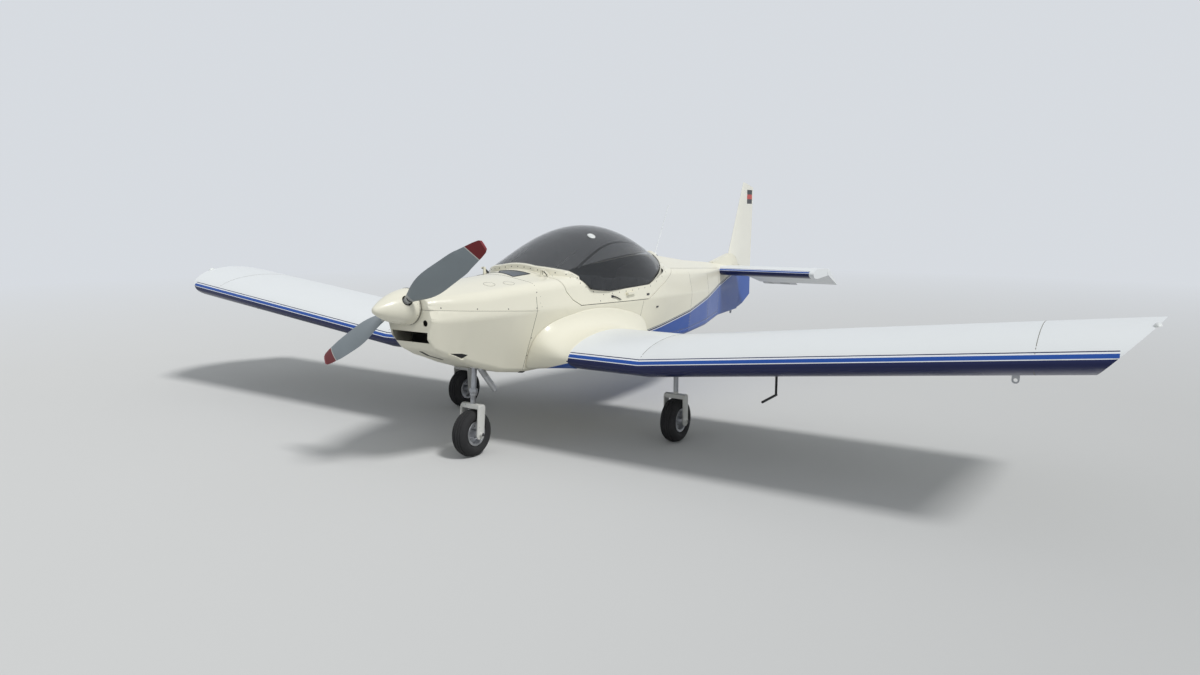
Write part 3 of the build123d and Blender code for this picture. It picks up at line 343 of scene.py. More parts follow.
@dataclass(frozen=True)
class Paint:
    """Gloss paint with faint grime, orange peel and long soft dents of the sheet."""

    name: str
    colour: Colour = WHITE
    roughness: float = 0.26
    grime: float = 0.10
    dent: float = 0.0012

    def livery(self, shader: Shader, base: Socket) -> Socket:
        """The stripes over the base colour; plain paint has none."""
        return base

    @lru_cache(maxsize=None)
    def material(self) -> bpy.types.Material:
        """Builds the material once.

        Returns:
            The material.
        """
        shader = Shader(self.name)
        cloud = shader.noise(2.3, 5.0, 0.62)
        speck = shader.noise(46.0, 4.0, 0.7)
        dirt = (cloud - 0.45) * (1.6 * self.grime) + speck.above(0.72) * 0.05
        shaded = tuple(c * f for c, f in zip(self.colour, (0.80, 0.77, 0.68)))
        colour = self.livery(shader, shader.mixed(dirt.either(0.0), self.colour, shaded))
        peel = shader.noise(260.0, 2.0)
        sheet = shader.noise(1.7, 2.0, 0.5, (1.0, 1.0, 2.2))
        normal = shader.bump(sheet + peel * 0.012, self.dent * 12.0, 0.5)
        return shader.finish(
            {
                "Base Color": colour,
                "Roughness": self.roughness + cloud * 0.12,
                "Specular IOR Level": 0.34,
                "Coat Weight": 0.10,
                "Coat Roughness": 0.08,
                "Normal": normal,
            }
        )


@dataclass(frozen=True)
class FuselagePaint(Paint):
    """Cream above, blue below a rising line with pinstripes along it."""

    start: Pair = (-1.43, 0.712)
    slope: float = -0.0970
    tail: Pair = (-3.76, 0.938)
    tail_slope: float = -0.200
    blue_top: float = -0.010
    bands: tuple[tuple[float, float, Colour], ...] = (
        (-0.010, -0.002, STRIPE_WHITE),
        (-0.002, 0.011, NAVY),
        (0.016, 0.021, TEAL),
    )

    def livery(self, shader: Shader, base: Socket) -> Socket:
        """Paints the aft lower side.

        Args:
            shader: The material under construction.
            base: The cream's socket.

        Returns:
            The striped colour.
        """
        x, _, z = shader.place()
        first = (x - self.start[0]) * self.slope + self.start[1]
        second = (x - self.tail[0]) * self.tail_slope + self.tail[1]
        rise = z - first.either(second)
        aft = x.below(self.start[0])
        colour = shader.mixed(aft * rise.below(self.blue_top), base, BLUE)
        for low, high, band in self.bands:
            colour = shader.mixed(aft * rise.within(low, high), colour, band)
        return colour


@dataclass(frozen=True)
class RudderPaint(Paint):
    """Cream-white above, blue below the tailplane, with a small patch of three bands near the top."""

    split_z: float = 1.06
    patch_x: Pair = (-4.858, -4.690)
    patch_z: Pair = (1.835, 2.000)
    patch_bands: tuple[Colour, ...] = ((0.010, 0.010, 0.012), (0.50, 0.035, 0.02), (0.02, 0.02, 0.024))

    def livery(self, shader: Shader, base: Socket) -> Socket:
        """Paints the lower rudder and the patch.

        Args:
            shader: The material under construction.
            base: The white's socket.

        Returns:
            The painted colour.
        """
        x, _, z = shader.place()
        colour = shader.mixed(z.below(self.split_z), base, BLUE)
        low, high = self.patch_z
        third = (high - low) / 3
        across = x.within(*self.patch_x)
        for index, band in enumerate(self.patch_bands):
            top = high - index * third
            colour = shader.mixed(across * z.within(top - third, top), colour, band)
        return colour


@dataclass(frozen=True)
class FairingPaint(Paint):
    """Cream fillet with a blue lower front."""

    patch_x: float = -0.35
    patch_foot: Pair = (0.46, 0.640)
    patch_rise: float = 0.30

    def nose_patch(self, x: Expr, side: Expr, z: Expr) -> Expr:
        """1 on the blue patch low on the fillet's nose, from a point's station, distance aside and height."""
        edge = (side - self.patch_foot[0]) * self.patch_rise + self.patch_foot[1]
        return x.above(self.patch_x) * z.below(edge)

    def livery(self, shader: Shader, base: Socket) -> Socket:
        """Paints the blue patch low on the nose of the fillet."""
        x, y, z = shader.place()
        return shader.mixed(self.nose_patch(x, abs(y), z), base, BLUE)


@dataclass(frozen=True)
class WingPaint(FairingPaint):
    """White with leading-edge stripes that follow the dihedral, and cream beside the cabin."""

    leading_x: float = -0.007
    leading_z: float = 0.714
    seam_y: float = 1.197
    rise: float = math.tan(math.radians(6.39))
    end_y: float = 3.87
    scale: float = 1.0
    under_reach: float = 0.20
    fillet_y: float = 0.600
    bands: tuple[tuple[float, Colour], ...] = (
        (0.055, NAVY),
        (0.050, STRIPE_WHITE),
        (0.042, BLUE),
        (0.021, STRIPE_WHITE),
        (0.016, NAVY),
    )

    def livery(self, shader: Shader, base: Socket) -> Socket:
        """Paints the stripes round the leading edge.

        Args:
            shader: The material under construction.
            base: The white's socket.

        Returns:
            The striped colour.
        """
        x, y, z = shader.place()
        side = abs(y)
        lift = (side - self.seam_y).either(0.0) * self.rise
        level = (z - self.leading_z - lift) * (1 / self.scale)
        near = x.above(self.leading_x - self.under_reach) * side.within(self.fillet_y, self.end_y)
        inner = side.below(self.fillet_y)
        colour = shader.mixed(inner, base, CREAM)
        colour = shader.mixed(inner * self.nose_patch(x, side, z), colour, BLUE)
        for top, band in self.bands:
            colour = shader.mixed(near * level.below(top), colour, band)
        return colour


@dataclass(frozen=True)
class BladePaint(Paint):
    """Grey blades with a pale root, and dark-red tips beside a thin pale line."""

    axis_z: float = 1.143
    blade_angle: float = math.radians(29.2)
    root: float = 0.150
    root_colour: Colour = (0.42, 0.43, 0.42)
    tip: float = 0.735
    tip_colour: Colour = (0.17, 0.008, 0.012)
    skew: float = 0.35
    end: float = 0.828
    end_colour: Colour = (0.34, 0.06, 0.07)
    line: float = 0.007
    line_colour: Colour = (0.55, 0.54, 0.50)

    def livery(self, shader: Shader, base: Socket) -> Socket:
        """Paints the tips by the distance from the shaft, their edge at a slant across the blade.

        Args:
            shader: The material under construction.
            base: The grey's socket.

        Returns:
            The painted colour.
        """
        _, y, z = shader.place()
        up = z - self.axis_z
        reach = (y * y + up * up) ** 0.5
        across = (up * math.cos(self.blade_angle) - y * math.sin(self.blade_angle)) * y.sign()
        slanted = reach + across * self.skew
        colour = shader.mixed(reach.below(self.root), base, self.root_colour)
        colour = shader.mixed(slanted.above(self.tip), colour, self.tip_colour)
        colour = shader.mixed(reach.above(self.end), colour, self.end_colour)
        return shader.mixed(slanted.within(self.tip - self.line, self.tip), colour, self.line_colour)


@dataclass(frozen=True)
class SpinnerPaint(Paint):
    """Cream with a thin dark line in front of the backplate."""

    line: Pair = (0.8775, 0.8805)
    line_colour: Colour = (0.09, 0.085, 0.075)

    def livery(self, shader: Shader, base: Socket) -> Socket:
        """Paints the line round the spinner's foot."""
        x, _, _ = shader.place()
        return shader.mixed(x.within(*self.line), base, self.line_colour)


@dataclass(frozen=True)
class Metal:
    """Bare or plated metal with fine scratches."""

    name: str
    colour: Colour
    roughness: float = 0.35
    metallic: float = 1.0

    @lru_cache(maxsize=None)
    def material(self) -> bpy.types.Material:
        """Builds the material once.

        Returns:
            The material.
        """
        shader = Shader(self.name)
        worn = shader.noise(38.0, 5.0, 0.65)
        dust = shader.noise(6.0, 4.0)
        dull = tuple(c * 0.55 for c in self.colour)
        fine = shader.noise(420.0, 2.0, 0.5, (1.0, 1.0, 0.1))
        return shader.finish(
            {
                "Base Color": shader.mixed(dust.above(0.56) * 0.5, self.colour, dull),
                "Metallic": self.metallic,
                "Roughness": self.roughness + worn * 0.25,
                "Normal": shader.bump(fine + worn, 0.0006, 0.5),
            }
        )


@dataclass(frozen=True)
class GearMetal(Metal):
    """Steel legs whose fork plates and crown are painted a pale grey."""

    plate_top_z: float = 0.392
    plate_colour: Colour = (0.62, 0.62, 0.59)

    @lru_cache(maxsize=None)
    def material(self) -> bpy.types.Material:
        """Builds the material once.

        Returns:
            The material.
        """
        shader = Shader(self.name)
        _, _, z = shader.place()
        plate = z.below(self.plate_top_z)
        worn = shader.noise(38.0, 5.0, 0.65)
        dust = shader.noise(6.0, 4.0)
        dull = tuple(c * 0.6 for c in self.colour)
        metal = shader.mixed(dust.above(0.56) * 0.5, self.colour, dull)
        chipped = plate * worn.below(0.66)
        return shader.finish(
            {
                "Base Color": shader.mixed(chipped, metal, self.plate_colour),
                "Metallic": (1.0 - chipped) * self.metallic,
                "Roughness": self.roughness + worn * 0.25,
                "Normal": shader.bump(worn, 0.0006, 0.5),
            }
        )


@dataclass(frozen=True)
class Plastic:
    """Moulded plastic or rubber with a fine grain."""

    name: str
    colour: Colour
    roughness: float = 0.6
    grain: float = 900.0
    depth: float = 0.0005

    @lru_cache(maxsize=None)
    def material(self) -> bpy.types.Material:
        """Builds the material once.

        Returns:
            The material.
        """
        shader = Shader(self.name)
        grain = shader.noise(self.grain, 2.0)
        dust = shader.noise(11.0, 5.0, 0.6)
        dusty = tuple(min(1.0, c * 1.5 + 0.03) for c in self.colour)
        return shader.finish(
            {
                "Base Color": shader.mixed((dust - 0.45).either(0.0) * 1.2, self.colour, dusty),
                "Roughness": self.roughness + dust * 0.2,
                "Normal": shader.bump(grain + dust, self.depth, 0.6),
            }
        )


@dataclass(frozen=True)
class SmokedGlass:
    """Dark acrylic of the canopy; each of a pane's two faces lets part of the light through."""

    name: str
    body: Colour = (0.012, 0.014, 0.016)
    cover: float = 0.47

    @lru_cache(maxsize=None)
    def material(self) -> bpy.types.Material:
        """Builds the material once.

        Returns:
            The material.
        """
        shader = Shader(self.name)
        smear = shader.noise(9.0, 4.0, 0.6)
        return shader.finish(
            {
                "Base Color": self.body,
                "Roughness": (smear - 0.5).either(0.0) * 0.10 + 0.015,
                "IOR": 1.5,
                "Alpha": self.cover,
                "Coat Weight": 0.5,
                "Coat Roughness": 0.02,
            }
        )


@dataclass(frozen=True)
class Cloth:
    """Woven seat cloth."""

    name: str
    colour: Colour
    threads: float = 420.0

    @lru_cache(maxsize=None)
    def material(self) -> bpy.types.Material:
        """Builds the material once.

        Returns:
            The material.
        """
        shader = Shader(self.name)
        x, y, z = shader.place()
        warp = shader.math("SINE", (x + z) * (self.threads * 2))
        weft = shader.math("SINE", (y + z) * (self.threads * 2))
        weave = (warp * weft + 1.0) * 0.5
        fade = shader.noise(7.0, 4.0, 0.6)
        pale = tuple(min(1.0, c * 1.9 + 0.01) for c in self.colour)
        return shader.finish(
            {
                "Base Color": shader.mixed(weave * 0.45 + fade * 0.3, self.colour, pale),
                "Roughness": 0.9,
                "Sheen Weight": 0.3,
                "Normal": shader.bump(weave + fade, 0.0006, 0.8),
            }
        )


CREAM_SKIN = FuselagePaint("cream_skin", CREAM)
CREAM_LAMINATE = Paint("cream_laminate", CREAM, 0.24, 0.08, 0.0006)
WING_SKIN = WingPaint("wing_skin", WHITE)
TAILPLANE_SKIN = WingPaint(
    "tailplane_skin",
    WHITE,
    leading_x=-3.741,
    leading_z=1.086,
    seam_y=2.0,
    rise=0.0,
    end_y=2.0,
    scale=0.62,
    fillet_y=0.0,
)
FAIRING_SKIN = FairingPaint("fairing_skin", CREAM, 0.24, 0.09, 0.0006)
RUDDER_SKIN = RudderPaint("rudder_skin", (0.80, 0.785, 0.70))
PLAIN_WHITE = Paint("plain_white", WHITE)
BLADE_GREY = BladePaint("blade_grey", (0.235, 0.270, 0.290), 0.30, 0.2, 0.0004)
SPINNER_CREAM = SpinnerPaint("spinner_cream", CREAM, 0.22, 0.06, 0.0003)
STEEL = Metal("leg_steel", (0.42, 0.43, 0.45), 0.34)
GEAR_STEEL = GearMetal("gear_steel", (0.42, 0.43, 0.45), 0.36)
DARK_STEEL = Metal("dark_steel", (0.10, 0.10, 0.105), 0.45)
ALUMINIUM = Metal("bare_aluminium", (0.60, 0.61, 0.63), 0.38)
CASTING = Metal("engine_casting", (0.11, 0.11, 0.115), 0.55, 0.8)
RUBBER = Plastic("tyre_rubber", (0.018, 0.018, 0.019), 0.75, 600.0, 0.0008)
BLACK_PLASTIC = Plastic("black_plastic", (0.014, 0.014, 0.016), 0.5)
GREY_PLASTIC = Plastic("grey_plastic", (0.10, 0.105, 0.11), 0.45)
VENT_PANEL = Plastic("vent_panel", (0.040, 0.055, 0.075), 0.22, 700.0, 0.0002)
CABIN_LINING = Plastic("cabin_lining", (0.055, 0.056, 0.060), 0.75, 500.0, 0.0006)
# Black rubber of seals, rims, rings and the boot; the same near-black also paints the shade inside the cowl's
# scoops and belly slot.
BLACK_RUBBER_AND_OPENING_SHADE = Plastic("black_rubber_and_opening_shade", (0.010, 0.010, 0.011), 0.55, 500.0, 0.0003)
# Pale lens of the tip lamps and the canopy vent; on the vent its pale colour is partly a painted highlight
# standing for the sun glint on the glass.
CLEAR_LENS_AND_GLINT = Plastic("clear_lens_and_glint", (0.70, 0.72, 0.70), 0.12, 300.0, 0.0001)
SEAM_DIRT = Plastic("seam_dirt", (0.16, 0.15, 0.12), 0.8)
FASTENER_HEAD = Metal("fastener_head", (0.16, 0.155, 0.14), 0.5, 0.6)
GLASS = SmokedGlass("smoked_acrylic")
SEAT_CLOTH = Cloth("seat_weave", (0.060, 0.062, 0.070))
WEBBING = Cloth("belt_webbing", (0.012, 0.014, 0.022), 900.0)
DIAL_FACE = Plastic("dial_face", (0.008, 0.008, 0.009), 0.3)
DIAL_MARK = Plastic("dial_mark", (0.65, 0.65, 0.62), 0.5)

Finish = Union[Paint, Metal, Plastic, SmokedGlass, Cloth]


# Mesh helpers


def add_object(name: str, mesh: bpy.types.Mesh, finish: Finish) -> Piece:
    """Links a mesh as an object with one finish.

    Args:
        name: The piece's name.
        mesh: Its mesh, in place.
        finish: Its finish.

    Returns:
        The object.
    """
    made = bpy.data.objects.new(name, mesh)
    bpy.context.scene.collection.objects.link(made)
    mesh.materials.clear()
    mesh.materials.append(finish.material())
    return made


def hand_over(piece: Piece, body: Body, slot: Slot, *nodes: str) -> Piece:
    """Gives a piece its body and hides the CAD nodes that it stands for.

    Args:
        piece: The finished piece.
        body: The body that it rides on.
        slot: Its material slot; not used.
        nodes: The CAD nodes that it replaces.

    Returns:
        The piece.
    """
    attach(piece, body.value)
    if nodes:
        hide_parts(*nodes)
    LOG.info("%s rides on %s", piece.name, body.value)
    return piece


def from_bmesh(name: str, work: Work, finish: Finish, smooth: float = 35.0) -> Piece:
    """Turns a bmesh into a smooth-shaded object whose sharp edges stay sharp.

    Args:
        name: The piece's name.
        work: The bmesh, which is freed.
        finish: Its finish.
        smooth: Angle in degrees over which an edge stays sharp.

    Returns:
        The object.
    """
    mesh = bpy.data.meshes.new(name)
    work.to_mesh(mesh)
    work.free()
    mesh.shade_smooth()
    mesh.set_sharp_from_angle(angle=math.radians(smooth))
    return add_object(name, mesh, finish)


LINING_AXIS_Z = 0.95
LINING_SLANT = -0.35
def dress(
    node: str,
    finish: Finish,
    body: Body,
    slot: Slot,
    smooth: float = 32.0,
    bevel: float = 0.0,
    lining: Finish | None = None,
) -> Piece:
    """Copies a CAD node as a merged, smooth-shaded piece that stands for it.

    Args:
        node: The CAD node.
        finish: Its finish.
        body: The body that it rides on.
        slot: Its material slot.
        smooth: Angle over which an edge stays sharp, in degrees.
        bevel: Width of the bevel on its sharp edges.
        lining: Finish of the faces that look towards the body's middle line.

    Returns:
        The dressed piece.
    """
    work = bmesh.new()
    work.from_mesh(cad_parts[node].data)
    bmesh.ops.remove_doubles(work, verts=work.verts, dist=2e-5)
    bmesh.ops.dissolve_degenerate(work, edges=work.edges, dist=1e-5)
    piece = from_bmesh(f"dressed_{node}", work, finish, smooth)
    if lining is not None:
        piece.data.materials.append(lining.material())
        for face in piece.data.polygons:
            outward = Vector((0, face.center.y, face.center.z - LINING_AXIS_Z))
            if face.normal.dot(outward.normalized()) < LINING_SLANT:
                face.material_index = 1
    if bevel:
        modifier = piece.modifiers.new("edges", "BEVEL")
        modifier.width = bevel
        modifier.segments = 2
        modifier.limit_method = "ANGLE"
        modifier.angle_limit = math.radians(40)
        modifier.harden_normals = True
    else:
        modifier = piece.modifiers.new("shading", "WEIGHTED_NORMAL")
        modifier.keep_sharp = True
    return hand_over(piece, body, slot, node)


class Skin:
    """The outer surface of CAD nodes or meshes, on which seams and fasteners are laid."""

    def __init__(self, *sources: str | bpy.types.Mesh) -> None:
        """Collects triangles into one search tree.

        Args:
            sources: CAD nodes by name, or meshes.
        """
        corners: list[Vector] = []
        faces: list[tuple[int, ...]] = []
        for source in sources:
            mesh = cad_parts[source].data if isinstance(source, str) else source
            start = len(corners)
            corners.extend(v.co.copy() for v in mesh.vertices)
            faces.extend(tuple(start + i for i in p.vertices) for p in mesh.polygons)
        self.tree = BVHTree.FromPolygons(corners, faces)

    def hit(self, start: Vector, direction: Vector) -> Contact | None:
        """First point and normal of the skin along a ray.

        Args:
            start: Where the ray starts, outside the skin.
            direction: Where it goes.

        Returns:
            Point and outward normal, or None where the ray misses.
        """
        point, normal, _, _ = self.tree.ray_cast(start, direction)
        if point is None:
            return None
        return point, -normal if normal.dot(direction) > 0 else normal

    def from_side(self, x: float, z: float, side: int) -> Contact | None:
        """Skin point seen from port (side 1) or starboard (side -1)."""
        return self.hit(at(x, side * 5.0, z), ASIDE * -side)

    def from_above(self, x: float, y: float) -> Contact | None:
        """Skin point seen from above."""
        return self.hit(at(x, y, 5.0), -UP)

    def from_below(self, x: float, y: float) -> Contact | None:
        """Skin point seen from below."""
        return self.hit(at(x, y, -2.0), UP)

    def side_row(self, points: Iterable[Point], side: int) -> list[Contact]:
        """Contacts under points of the side view, on port (side 1) or starboard (side -1)."""
        return laid(((x, z, side) for x, z in points), self.from_side)

    def top_row(self, points: Iterable[Point], side: int) -> list[Contact]:
        """Contacts under points of the top view, mirrored for starboard (side -1)."""
        return laid(((x, side * y) for x, y in points), self.from_above)


def sure(contact: Contact | None) -> Contact:
    """A contact that has to be there.

    Args:
        contact: What a ray found.

    Returns:
        The same contact.
    """
    if contact is None:
        raise ValueError("a fitting misses its skin")
    return contact
def spaced(corners: Sequence[Point], spacing: float) -> list[tuple[float, ...]]:
    """Evenly spaced points along a broken line.

    Args:
        corners: The line's corners.
        spacing: Distance between points.

    Returns:
        The points, ends included.
    """
    path = [Vector((*c, 0.0)) if len(c) == 2 else Vector(c) for c in corners]
    total = sum((b - a).length for a, b in zip(path, path[1:]))
    count = max(1, round(total / spacing))
    points: list[tuple[float, ...]] = []
    for index in range(count + 1):
        left = total * index / count
        for a, b in zip(path, path[1:]):
            reach = (b - a).length
            if left <= reach + 1e-9:
                spot = a.lerp(b, min(1.0, left / reach))
                points.append(tuple(spot)[: len(corners[0])])
                break
            left -= reach
    return points


def laid(points: Iterable[tuple[float, ...]], cast: Cast) -> list[Contact]:
    """Drops points onto a skin and keeps those that meet it."""
    return [found for found in (cast(*p) for p in points) if found is not None]


def bridge(work: Work, rings: Sequence[Sequence[bmesh.types.BMVert]]) -> list[bmesh.types.BMFace]:
    """Joins closed rings of corners, each to the next, by quads.

    Args:
        work: The bmesh that takes the faces.
        rings: Rings with as many corners each.

    Returns:
        The new faces.
    """
    made = []
    for low, high in zip(rings, rings[1:]):
        for i in range(len(low)):
            j = (i + 1) % len(low)
            made.append(work.faces.new((low[i], low[j], high[j], high[i])))
    return made


def sheet(work: Work, rows: Sequence[Sequence[Vector]], turned_over: bool = False) -> None:
    """Adds an open sheet through rows of points.

    Args:
        work: The bmesh that takes the sheet.
        rows: Rows with as many points each.
        turned_over: Whether its faces turn the other way.
    """
    grid = [[work.verts.new(point) for point in row] for row in rows]
    for low, high in zip(grid, grid[1:]):
        for j in range(len(low) - 1):
            corners = (low[j], high[j], high[j + 1], low[j + 1])
            work.faces.new(corners[::-1] if turned_over else corners)


def walled(piece: Piece, thickness: float) -> Piece:
    """Gives a sheet its thickness.

    Args:
        piece: The sheet.
        thickness: Its wall, laid behind the sheet.

    Returns:
        The piece.
    """
    wall = piece.modifiers.new("wall", "SOLIDIFY")
    wall.thickness, wall.offset = thickness, -1.0
    return piece


def ribbon(work: Work, contacts: Sequence[Contact], width: float, rise: float) -> None:
    """Adds a closed flat bead along points on a skin.

    Args:
        work: The bmesh that takes the bead.
        contacts: Points and normals along it.
        width: Width across.
        rise: Height over the skin; as much lies under it.
    """
    rings = []
    for index, (point, normal) in enumerate(contacts):
        before = contacts[max(0, index - 1)][0]
        after = contacts[min(len(contacts) - 1, index + 1)][0]
        along = (after - before).normalized()
        across = normal.cross(along).normalized() * (width / 2)
        up = normal * rise
        top = across * 0.8
        corners = (point - across - up, point + across - up, point + top + up, point - top + up)
        rings.append([work.verts.new(c) for c in corners])
    bridge(work, rings)
    work.faces.new(rings[0])
    work.faces.new(list(reversed(rings[-1])))


def turned(work: Work, profile: Sequence[Pair], centre: Vector, axis: Vector, facets: int) -> None:
    """Adds a closed turned form.

    Args:
        work: The bmesh that takes the form.
        profile: Closed outline as (along the axis, radius).
        centre: Where along = 0 lies.
        axis: Direction of the axis.
        facets: Facets round the axis.
    """
    axis = axis.normalized()
    side = axis.orthogonal().normalized()
    rings = []
    for angle in turns(facets):
        out = Matrix.Rotation(angle, 3, axis) @ side
        rings.append([work.verts.new(centre + axis * along + out * radius) for along, radius in profile])
    made = bridge(work, rings + rings[:1])
    corners = [vert for ring in rings for vert in ring]
    bmesh.ops.remove_doubles(work, verts=corners, dist=1e-6)
    bmesh.ops.recalc_face_normals(work, faces=[face for face in made if face.is_valid])


def lathe(
    name: str, profile: Sequence[Pair], centre: Vector, axis: Vector, finish: Finish, facets: int = 72
) -> Piece:
    """A turned piece.

    Args:
        name: The piece's name.
        profile: Closed outline as (along the axis, radius), both in metres.
        centre: Where along = 0 lies.
        axis: Direction of the axis.
        finish: Its finish.
        facets: Facets round the axis.

    Returns:
        The object.
    """
    work = bmesh.new()
    turned(work, profile, centre, axis, facets)
    return from_bmesh(name, work, finish)


def tube(work: Work, path: Sequence[Vector], radii: Sequence[float], facets: int) -> None:
    """Adds a closed round tube along a path.

    Args:
        work: The bmesh that takes the tube.
        path: Points along its middle.
        radii: Radius at each point.
        facets: Facets round it.
    """
    rings = []
    side = (path[1] - path[0]).orthogonal().normalized()
    for index, (point, radius) in enumerate(zip(path, radii)):
        along = (path[min(index + 1, len(path) - 1)] - path[max(index - 1, 0)]).normalized()
        side = (side - along * side.dot(along)).normalized()
        other = along.cross(side)
        spokes = (side * math.cos(angle) + other * math.sin(angle) for angle in turns(facets))
        rings.append([work.verts.new(point + spoke * radius) for spoke in spokes])
    bridge(work, rings)
    work.faces.new(list(reversed(rings[0])))
    work.faces.new(rings[-1])


# Fasteners by Geometry Nodes


class Head(Enum):
    """Kinds of fastener head, with radius and height in metres."""

    RIVET = (0.0022, 0.0007)
    SCREW = (0.0048, 0.0016)
    NUT = (0.0130, 0.0090)


class FastenerTree(NodeWork):
    """Geometry Nodes tree that sets a head on every point of a row."""

    def __init__(self, finish: Finish) -> None:
        """Builds the tree.

        Args:
            finish: Finish of the heads.
        """
        super().__init__(bpy.data.node_groups.new("fastener_rows", "GeometryNodeTree"))
        face = self.tree.interface
        face.new_socket(name="Row", in_out="INPUT", socket_type="NodeSocketGeometry")
        self.radius, self.height = (
            face.new_socket(name=name, in_out="INPUT", socket_type="NodeSocketFloat")
            for name in ("Head Radius", "Head Height")
        )
        face.new_socket(name="Heads", in_out="OUTPUT", socket_type="NodeSocketGeometry")
        given = self.node("NodeGroupInput").outputs
        radius, height = given["Head Radius"], given["Head Height"]
        size = self.node("ShaderNodeCombineXYZ", None, {0: radius, 1: radius, 2: height}).outputs[0]
        ball = {"Radius": 1.0, "Subdivisions": 2}
        head = self.node("GeometryNodeMeshIcoSphere", None, ball).outputs["Mesh"]
        kind = {"data_type": "FLOAT_VECTOR"}
        facing = self.node("GeometryNodeInputNamedAttribute", kind, {"Name": "facing"}).outputs["Attribute"]
        aim = {"Vector": facing}
        turn = self.node("FunctionNodeAlignRotationToVector", {"axis": "Z"}, aim).outputs["Rotation"]
        points = self.node("GeometryNodeMeshToPoints", None, {"Mesh": given["Row"]}).outputs["Points"]
        values = {"Points": points, "Instance": head, "Rotation": turn, "Scale": size}
        placed = self.node("GeometryNodeInstanceOnPoints", None, values).outputs["Instances"]
        real = self.node("GeometryNodeRealizeInstances", None, {0: placed}).outputs[0]
        smooth = self.node("GeometryNodeSetShadeSmooth", None, {0: real}).outputs[0]
        values = {"Geometry": smooth, "Material": finish.material()}
        dressed = self.node("GeometryNodeSetMaterial", None, values).outputs[0]
        self.node("NodeGroupOutput", None, {0: dressed})


@lru_cache(maxsize=None)
def fastener_tree(finish: Finish) -> FastenerTree:
    """The tree of one finish, built once."""
    return FastenerTree(finish)


def fasteners(
    name: str, contacts: Sequence[Contact], head: Head, body: Body, slot: Slot, finish: Finish = FASTENER_HEAD
) -> Piece:
    """Sets fastener heads on points of a skin.

    Args:
        name: The piece's name.
        contacts: Points and outward normals.
        head: Kind of head.
        body: The body that they ride on.
        slot: Their material slot.
        finish: Their finish.

    Returns:
        The piece with every head.
    """
    mesh = bpy.data.meshes.new(f"{name}_points")
    mesh.from_pydata([c[0] for c in contacts], [], [])
    facing = mesh.attributes.new("facing", "FLOAT_VECTOR", "POINT")
    for item, (_, normal) in zip(facing.data, contacts):
        item.vector = normal
    rows = bpy.data.objects.new(f"{name}_points", mesh)
    bpy.context.scene.collection.objects.link(rows)
    group = fastener_tree(finish)
    modifier = rows.modifiers.new("heads", "NODES")
    modifier.node_group = group.tree
    radius, height = head.value
    modifier[group.radius.identifier] = radius
    modifier[group.height.identifier] = height
    graph = bpy.context.evaluated_depsgraph_get()
    result = bpy.data.meshes.new_from_object(rows.evaluated_get(graph))
    bpy.data.objects.remove(rows)
    piece = bpy.data.objects.new(name, result)
    bpy.context.scene.collection.objects.link(piece)
    return hand_over(piece, body, slot)


# Panels, plates and pads on a surface


def steps(low: float, high: float, pitch: float) -> list[float]:
    """Evenly spaced values from low to high."""
    count = max(1, round((high - low) / pitch))
    return [low + (high - low) * i / count for i in range(count + 1)]


def patch(work: Work, corners: Sequence[Point], cast: Cast, cells: int, rise: float) -> None:
    """Adds a thin closed panel that follows a skin.

    Args:
        work: The bmesh that takes the panel.
        corners: Its four corners as the cast takes them, going round.
        cast: Finds the skin's point and normal under two coordinates.
        cells: Cells along each side.
        rise: Height over the skin; as much lies under it.
    """
    spots = [Vector((*c, 0.0)) for c in corners]
    top, bottom = [], []
    for i in range(cells + 1):
        upper, lower = [], []
        for j in range(cells + 1):
            u, v = i / cells, j / cells
            spot = spots[0].lerp(spots[1], u).lerp(spots[3].lerp(spots[2], u), v)
            point, normal = sure(cast(spot.x, spot.y))
            upper.append(work.verts.new(point + normal * rise))
            lower.append(work.verts.new(point - normal * rise))
        top.append(upper)
        bottom.append(lower)
    made = []
    for i in range(cells):
        for j in range(cells):
            k, m = i + 1, j + 1
            made.append(work.faces.new((top[i][j], top[k][j], top[k][m], top[i][m])))
            made.append(work.faces.new((bottom[i][j], bottom[i][m], bottom[k][m], bottom[k][j])))
    rim = [(i, 0) for i in range(cells)] + [(cells, j) for j in range(cells)]
    rim += [(i, cells) for i in range(cells, 0, -1)] + [(0, j) for j in range(cells, 0, -1)]
    for (a, b), (c, d) in zip(rim, rim[1:] + rim[:1]):
        made.append(work.faces.new((top[a][b], bottom[a][b], bottom[c][d], top[c][d])))
    bmesh.ops.recalc_face_normals(work, faces=made)


def plate(
    work: Work,
    contact: Contact,
    along: Vector,
    length: float,
    width: float,
    rise: float,
    sink: float = 0.002,
) -> None:
    """Adds a small block with a narrowed top that sits on a surface.

    Args:
        work: The bmesh that takes the plate.
        contact: Point and normal under its middle.
        along: Rough direction of its length.
        length: Size along.
        width: Size across.
        rise: Height over the surface.
        sink: Depth under the surface.
    """
    point, normal = contact
    across = normal.cross(along).normalized()
    ahead = across.cross(normal).normalized()
    cut = min(length, width) * 0.12
    rings = []
    for lift, inset in ((-sink, 0.0), (rise * 0.6, 0.0), (rise, cut)):
        reach, half = ahead * (length / 2 - inset), across * (width / 2 - inset)
        corners = ((-1, -1), (1, -1), (1, 1), (-1, 1))
        rings.append([work.verts.new(point + normal * lift + reach * u + half * v) for u, v in corners])
    made = [work.faces.new(rings[0]), work.faces.new(rings[-1])]
    made += bridge(work, rings)
    bmesh.ops.recalc_face_normals(work, faces=made)


